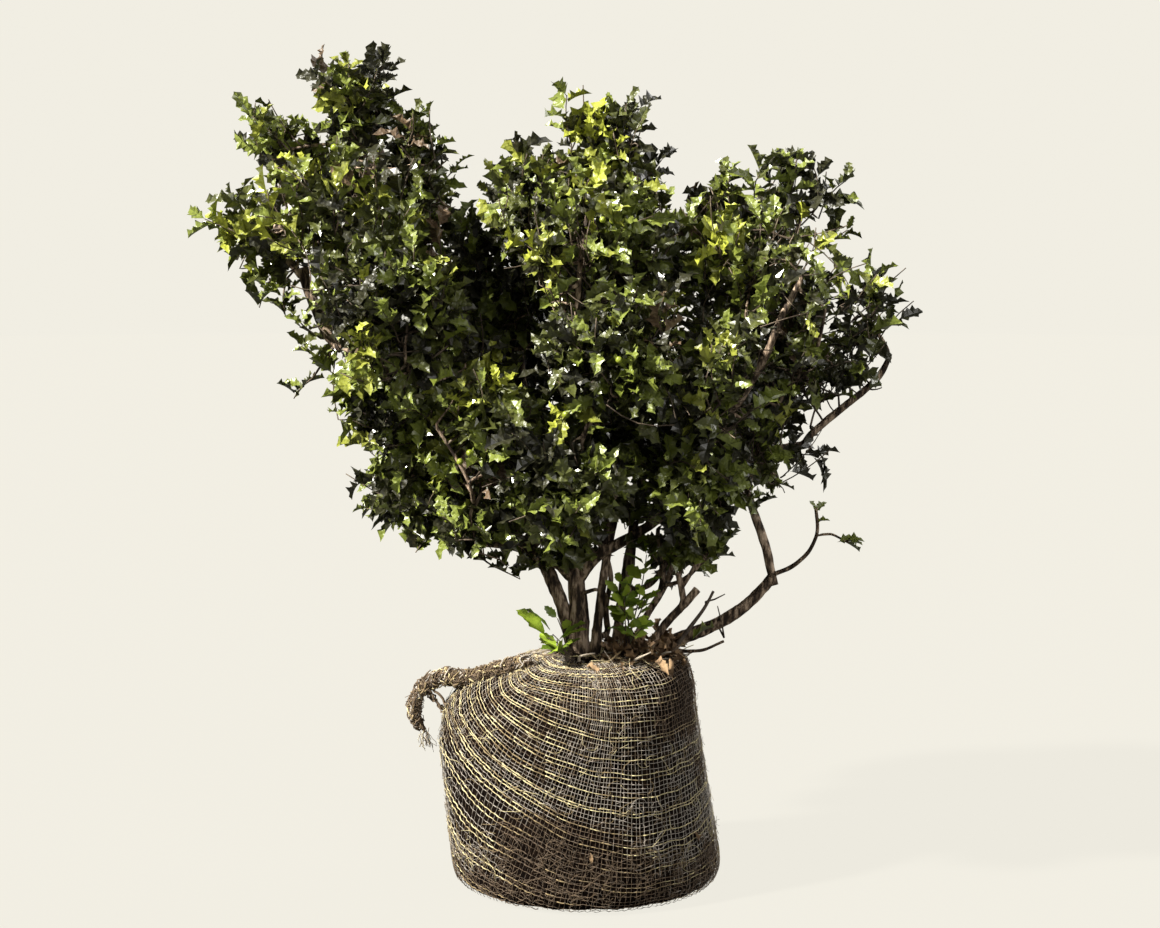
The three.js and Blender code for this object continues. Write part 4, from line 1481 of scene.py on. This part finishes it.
def make_rope(surfaces):
    """The neck of the net, wrung into a rope that lies on the shoulder and hangs in a hook past it."""
    rng = np.random.default_rng(SEED + 42)
    line = resample(rounded(ROPE_PATH, 3), 3 * MM)
    forward = unit(np.gradient(line, axis=0))
    first = unit(np.cross(forward, [0, 1.0, 0]))
    second = np.cross(forward, first)
    along = np.linspace(0, 1, len(line))
    thick = np.interp(along, [0, 0.06, 0.3, 0.5, 0.8, 1], [5, 8, 7, 9.5, 8.5, 5.5]) * MM
    thick *= 1 + 0.26 * smooth_noise(line, 0.022, 70)

    def around(stretch, turn, reach):
        """A path round a stretch of the rope, at these angles and distances from its middle."""
        radial = first[stretch] * np.cos(turn)[:, None] + second[stretch] * np.sin(turn)[:, None]
        return line[stretch] + radial * reach[:, None]

    for strand in range(OUTER_STRANDS + INNER_STRANDS):
        share, fellows = (0.66, OUTER_STRANDS) if strand < OUTER_STRANDS else (0.25, INNER_STRANDS)
        turn = strand * 2 * math.pi / fellows + along * 15 + 0.5 * smooth_noise(line, 0.05, 71 + strand)
        reach = thick * share * (1 + 0.18 * smooth_noise(line, 0.025, 90 + strand))
        radius = thick * 0.3 * (1 + 0.3 * smooth_noise(line, 0.02, 110 + strand))
        last = len(line) - rng.integers(0, 6)
        path = around(slice(None), turn, reach)
        surfaces[STRAND_THREADS[strand % len(STRAND_THREADS)]].add_tube(path[:last], radius[:last], 5)
    for _ in range(ROPE_FIBRES):
        start = rng.integers(1, len(line) - 9)
        span = rng.integers(6, 9)
        stretch = slice(start, start + span)
        turn = rng.uniform(0, 2 * math.pi) + np.arange(span) * rng.normal(scale=0.5)
        path = around(stretch, turn, thick[stretch] * rng.uniform(0.95, 1.2))
        path = path + rng.normal(scale=1.3 * MM, size=(span, 3))
        name = rng.choice(["straw", "dull_straw", "grey", "brown", "soiled"], p=[0.06, 0.12, 0.14, 0.3, 0.38])
        surfaces[name].add_tube(path, rng.uniform(0.4, 1.1) * MM, 4)
    start = line[-len(line) // 3] + [0, 0, -6 * MM]
    for number in range(5):
        path = np.array([start, (start + TIE_END) / 2 + [0, 0, -4 * MM], TIE_END])
        path = resample(rounded(path, 2), 4 * MM)
        path = path + rng.normal(scale=1.6 * MM, size=path.shape) + rng.normal(scale=2.2 * MM, size=3)
        surfaces[("brown", "soiled", "dull_straw")[number % 3]].add_tube(path, rng.uniform(0.9, 1.8) * MM, 5)


def make_rope_end(surfaces):
    """Frayed threads at the end of the rope, one of them long."""
    rng = np.random.default_rng(SEED + 43)
    end = ROPE_PATH[-1]
    for number in range(FRAYED_THREADS):
        length = rng.uniform(8, 20) * MM if number else 34 * MM
        heading = unit(np.array([0.25, 0, -1.0]) + rng.normal(scale=0.35, size=3))
        steps = np.linspace(0, 1, 6)[:, None]
        path = end + rng.normal(scale=3 * MM, size=3) + heading * length * steps
        path = path + rng.normal(scale=1.2 * MM, size=path.shape) * steps + [0, 0, -4 * MM] * steps ** 2
        name = ("grey", "straw", "brown")[number % 3]
        surfaces[name].add_tube(path, rng.uniform(0.3, 0.6) * MM, 3)


# Litter lies on the ball's top only, above this height.
LITTER_FLOOR = 262 * MM
DEAD_LEAVES = 130
STRAWS = 170
ROOTS = 34
# Dead leaves caught on the net: azimuths in radians, levels and lengths.
SCRAPS = np.array([[0.05, 1.0], [0.067, 0.072], [0.011, 0.013]])
LITTER_TEMPLATES = [
    leaf_template(3, 0.2, 0.9, 0.12, 0.5, 0.06, 8),
    leaf_template(4, 0.22, 0.7, 0.15, -0.4, 0.05, 9),
]


def ball_below(ball, x, y):
    """The point of the ball straight below this place."""
    return np.array(ball.ray_cast(Vector((x, y, 0.5)), Vector((0, 0, -1)))[0] or (x, y, 0))


def add_dead_leaves(leaves, ball, rng):
    """A heap of dead leaves round the stems, thickest on the right of the mouth."""
    spots = []
    for x, y in MOUTH + np.array([0.03, -0.03]) + rng.normal(scale=[0.03, 0.028], size=(DEAD_LEAVES, 2)):
        below = ball_below(ball, x, y)
        if below[2] >= LITTER_FLOOR:
            spots.append(below + [0, 0, rng.uniform(2, 22) * MM])
    count = len(spots)
    heading = unit(rng.normal(size=(count, 3)) * [1, 1, 0.5])
    facing = unit(rng.normal(size=(count, 3)) * 0.6 + [0, -0.3, 1])
    sizes = rng.uniform(13, 28, count) * MM
    add_leaves(leaves, LITTER_TEMPLATES, np.array(spots), heading, facing, sizes, rng)


def add_straws(surfaces, ball, rng):
    """Bent straws over and under the dead leaves."""
    steps = np.linspace(-0.5, 0.5, 6)[:, None]
    for _ in range(STRAWS):
        x, y = MOUTH + np.array([0.012, -0.01]) + rng.normal(scale=[0.036, 0.03], size=2)
        below = ball_below(ball, x, y)
        if below[2] < LITTER_FLOOR:
            continue
        heading = unit(rng.normal(size=3) * [1, 1, 0.35])
        length = rng.uniform(16, 46) * MM
        path = below + [0, 0, rng.uniform(1, 7) * MM] + heading * length * steps
        path = path + unit(rng.normal(size=3)) * 5 * MM * steps ** 2 * 4
        name = rng.choice(["straw", "pale", "brown", "soiled"], p=[0.3, 0.3, 0.25, 0.15])
        surfaces[name].add_tube(path, rng.uniform(0.3, 0.9) * MM, 4)


def add_roots(surfaces, ball, rng):
    """Thicker bits of root that stick up out of the litter."""
    steps = np.linspace(0, 1, 7)[:, None]
    for _ in range(ROOTS):
        x, y = MOUTH + np.array([0.012, -0.02]) + rng.normal(scale=[0.03, 0.022], size=2)
        heading = unit(rng.normal(size=3) * [1, 1, 0.3] + [0, 0, 0.35])
        path = ball_below(ball, x, y) + heading * rng.uniform(18, 44) * MM * steps
        path = path + unit(rng.normal(size=3)) * 9 * MM * np.sin(steps * math.pi) + [0, 0, 4 * MM]
        name = rng.choice(["pale", "dull_straw", "brown"])
        surfaces[name].add_tube(path, np.linspace(rng.uniform(1.6, 3.2), 0.8, 7) * MM, 6)


def add_chip(leaves, place):
    """A chip of wood, or a curled leaf, caught at the edge of the mouth."""
    corners = np.array([
        [-3, -2, -11], [3, -3, -11], [3, 2, -11], [-3, 2, -11],
        [-2, -1, 12], [4, -2, 8], [3, 2, 10], [-1, 2, 13],
    ]) * MM
    sides = [
        [0, 1, 5], [0, 5, 4], [1, 2, 6], [1, 6, 5], [2, 3, 7], [2, 7, 6], [3, 0, 4], [3, 4, 7],
        [4, 5, 6], [4, 6, 7], [0, 2, 1], [0, 3, 2],
    ]
    leaves.add(corners + place, np.array(sides))


def make_litter(skin, surfaces, material):
    """Dead leaves, straw and roots round the stems, and a few scraps on the net."""
    rng = np.random.default_rng(SEED + 44)
    leaves = Surface()
    ball = tree_of(["soil_ball", "net_sack"])
    add_dead_leaves(leaves, ball, rng)
    add_straws(surfaces, ball, rng)
    add_roots(surfaces, ball, rng)
    turn, level, sizes = SCRAPS
    heading = unit(rng.normal(size=(2, 3)) * [1, 0.2, 1])
    facing = np.array([[0, -1.0, 0.3], [0.8, -0.6, 0.3]])
    add_leaves(leaves, LITTER_TEMPLATES, skin.point(turn, level, 2 * MM), heading, facing, sizes, rng)
    add_chip(leaves, skin.point(np.array(0.98), np.array(288 * MM), 3 * MM))
    leaves.piece("dead_leaves", material, "dead_bark")


def thread_material(name, colour, roughness):
    """A dull fibrous thread in one plain colour."""
    material, tree, shader = new_material("thread_" + name, roughness, 0.25)
    shader.inputs["Base Color"].default_value = (*colour, 1.0)
    shader.inputs["Sheen Weight"].default_value = 0.15
    add_bump(tree, shader, noise_node(tree, 900.0, 3.0), 0.5 * MM)
    return material


def make_root_ball():
    """The soil, the net with its neck, and the litter at its mouth."""
    skin = BallSurface()
    make_soil(skin, mottled_material("soil", SOIL_STOPS, 45.0, 0.95, 260.0, 2.0 * MM, 0.05))
    surfaces = {name: Surface() for name in THREADS}
    add_net(surfaces, skin)
    add_fibres(surfaces, skin)
    make_rope(surfaces)
    make_rope_end(surfaces)
    make_litter(skin, surfaces, mottled_material("litter", LITTER_STOPS, 70.0, 0.8, 300.0, 1.0 * MM))
    replaced = ["net_sack", "net_roll", "net_tail"]
    for name, (colour, roughness) in THREADS.items():
        surfaces[name].piece("net_" + name, thread_material(name, colour, roughness), "net", replaced)
        replaced = []


# ------------------------------------------------------------------ light, floor and camera

BACKDROP = (0.88, 0.853, 0.767)
# How strongly the floor glows for the camera, and how strongly floor and sky light the plant.
FLOOR_GLOW = 0.955
FLOOR_LIGHT = 0.12
SKY_LIGHT = 0.12
# Strength, spread, colour, and the degrees to the left of the camera's side and above the floor.
SUNS = {
    "key": (11.0, 4, (1.0, 0.965, 0.9), 62, 38),
    "rim": (1.2, 30, (1.0, 0.98, 0.95), -115, 30),
    "fill": (1.0, 40, (1.0, 0.98, 0.95), -35, 25),
}
# The camera: how far off, how far down it looks, what it looks at, and its lens in millimetres.
CAMERA_DISTANCE = 3.0
CAMERA_TILT = math.radians(6)
CAMERA_TARGET = Vector((0, 0, 0.531))
CAMERA_LENS = 74.48


def camera_switch(tree, for_camera, for_light):
    """A number that is the first for what the camera sees, and the second for the light that is cast."""
    path = tree.nodes.new("ShaderNodeLightPath")
    switch = tree.nodes.new("ShaderNodeMapRange")
    switch.inputs["To Min"].default_value = for_light
    switch.inputs["To Max"].default_value = for_camera
    tree.links.new(path.outputs["Is Camera Ray"], switch.inputs["Value"])
    return switch.outputs["Result"]


def make_stage():
    """A pale floor that glows a little, so that it meets the backdrop's colour and the shadow stays faint."""
    material, tree, shader = new_material("floor", 1.0, 0.0)
    shader.inputs["Base Color"].default_value = (0.018, 0.0175, 0.016, 1.0)
    shader.inputs["Emission Color"].default_value = (*BACKDROP, 1.0)
    tree.links.new(camera_switch(tree, FLOOR_GLOW, FLOOR_LIGHT), shader.inputs["Emission Strength"])
    bpy.ops.mesh.primitive_circle_add(vertices=96, radius=14, fill_type="NGON", location=(0, 0, -0.0005))
    floor = bpy.context.object
    floor.name = "floor"
    floor.data.materials.append(material)


def add_sun(name, strength, spread, colour, to_the_left, height):
    """A far light, at these degrees to the left of the camera's side and above the floor."""
    data = bpy.data.lights.new(name, "SUN")
    data.energy = strength
    data.angle = math.radians(spread)
    data.color = colour
    sun = bpy.data.objects.new(name, data)
    across, up = math.radians(to_the_left), math.radians(height)
    towards = Vector((math.sin(across) * math.cos(up), math.cos(across) * math.cos(up), -math.sin(up)))
    sun.rotation_euler = towards.to_track_quat("-Z", "Y").to_euler()
    bpy.context.scene.collection.objects.link(sun)


def make_light():
    """A sun on the left, two soft lights that open its shadows, and a dim sky behind a pale backdrop."""
    world = bpy.data.worlds.new("studio")
    world.use_nodes = True
    tree = world.node_tree
    background = tree.nodes["Background"]
    background.inputs["Color"].default_value = (*BACKDROP, 1.0)
    tree.links.new(camera_switch(tree, 1.0, SKY_LIGHT), background.inputs["Strength"])
    bpy.context.scene.world = world
    for name, sun in SUNS.items():
        add_sun(name, *sun)
    bpy.context.scene.view_settings.view_transform = "Standard"


def make_camera():
    """At the photograph's angle: level with the crown's middle, looking down a little."""
    data = bpy.data.cameras.new("camera")
    data.sensor_width = 36.0
    data.lens = CAMERA_LENS
    camera = bpy.data.objects.new("camera", data)
    behind = Vector((0, -math.cos(CAMERA_TILT), math.sin(CAMERA_TILT)))
    camera.location = CAMERA_TARGET + behind * CAMERA_DISTANCE
    camera.rotation_euler = (CAMERA_TARGET - camera.location).to_track_quat("-Z", "Y").to_euler()
    bpy.context.scene.collection.objects.link(camera)
    bpy.context.scene.camera = camera


# ------------------------------------------------------------------ the whole

make_camera()
make_stage()
make_light()
bark = mottled_material("bark", BARK_STOPS, 150.0, 0.75, 420.0, 2.0 * MM, grain=0.25)
dead_bark = mottled_material("dead_bark", DEAD_BARK_STOPS, 90.0, 0.85, 300.0, 1.5 * MM)
twig_bark = mottled_material("twig_bark", TWIG_STOPS, 60.0, 0.6, 400.0, 0.8 * MM)
limb_lines = {name: limb_line(name) for name in LIMBS}
make_limbs(limb_lines, bark, dead_bark)
branch_points = make_crown(limb_lines, bark, twig_bark)
make_sprouts(twig_bark)
limb_points = [resample(rows[:, :3], 4 * MM) for rows in limb_lines.values()]
make_hem(twig_bark, np.vstack([branch_points, *limb_points]))
make_root_ball()
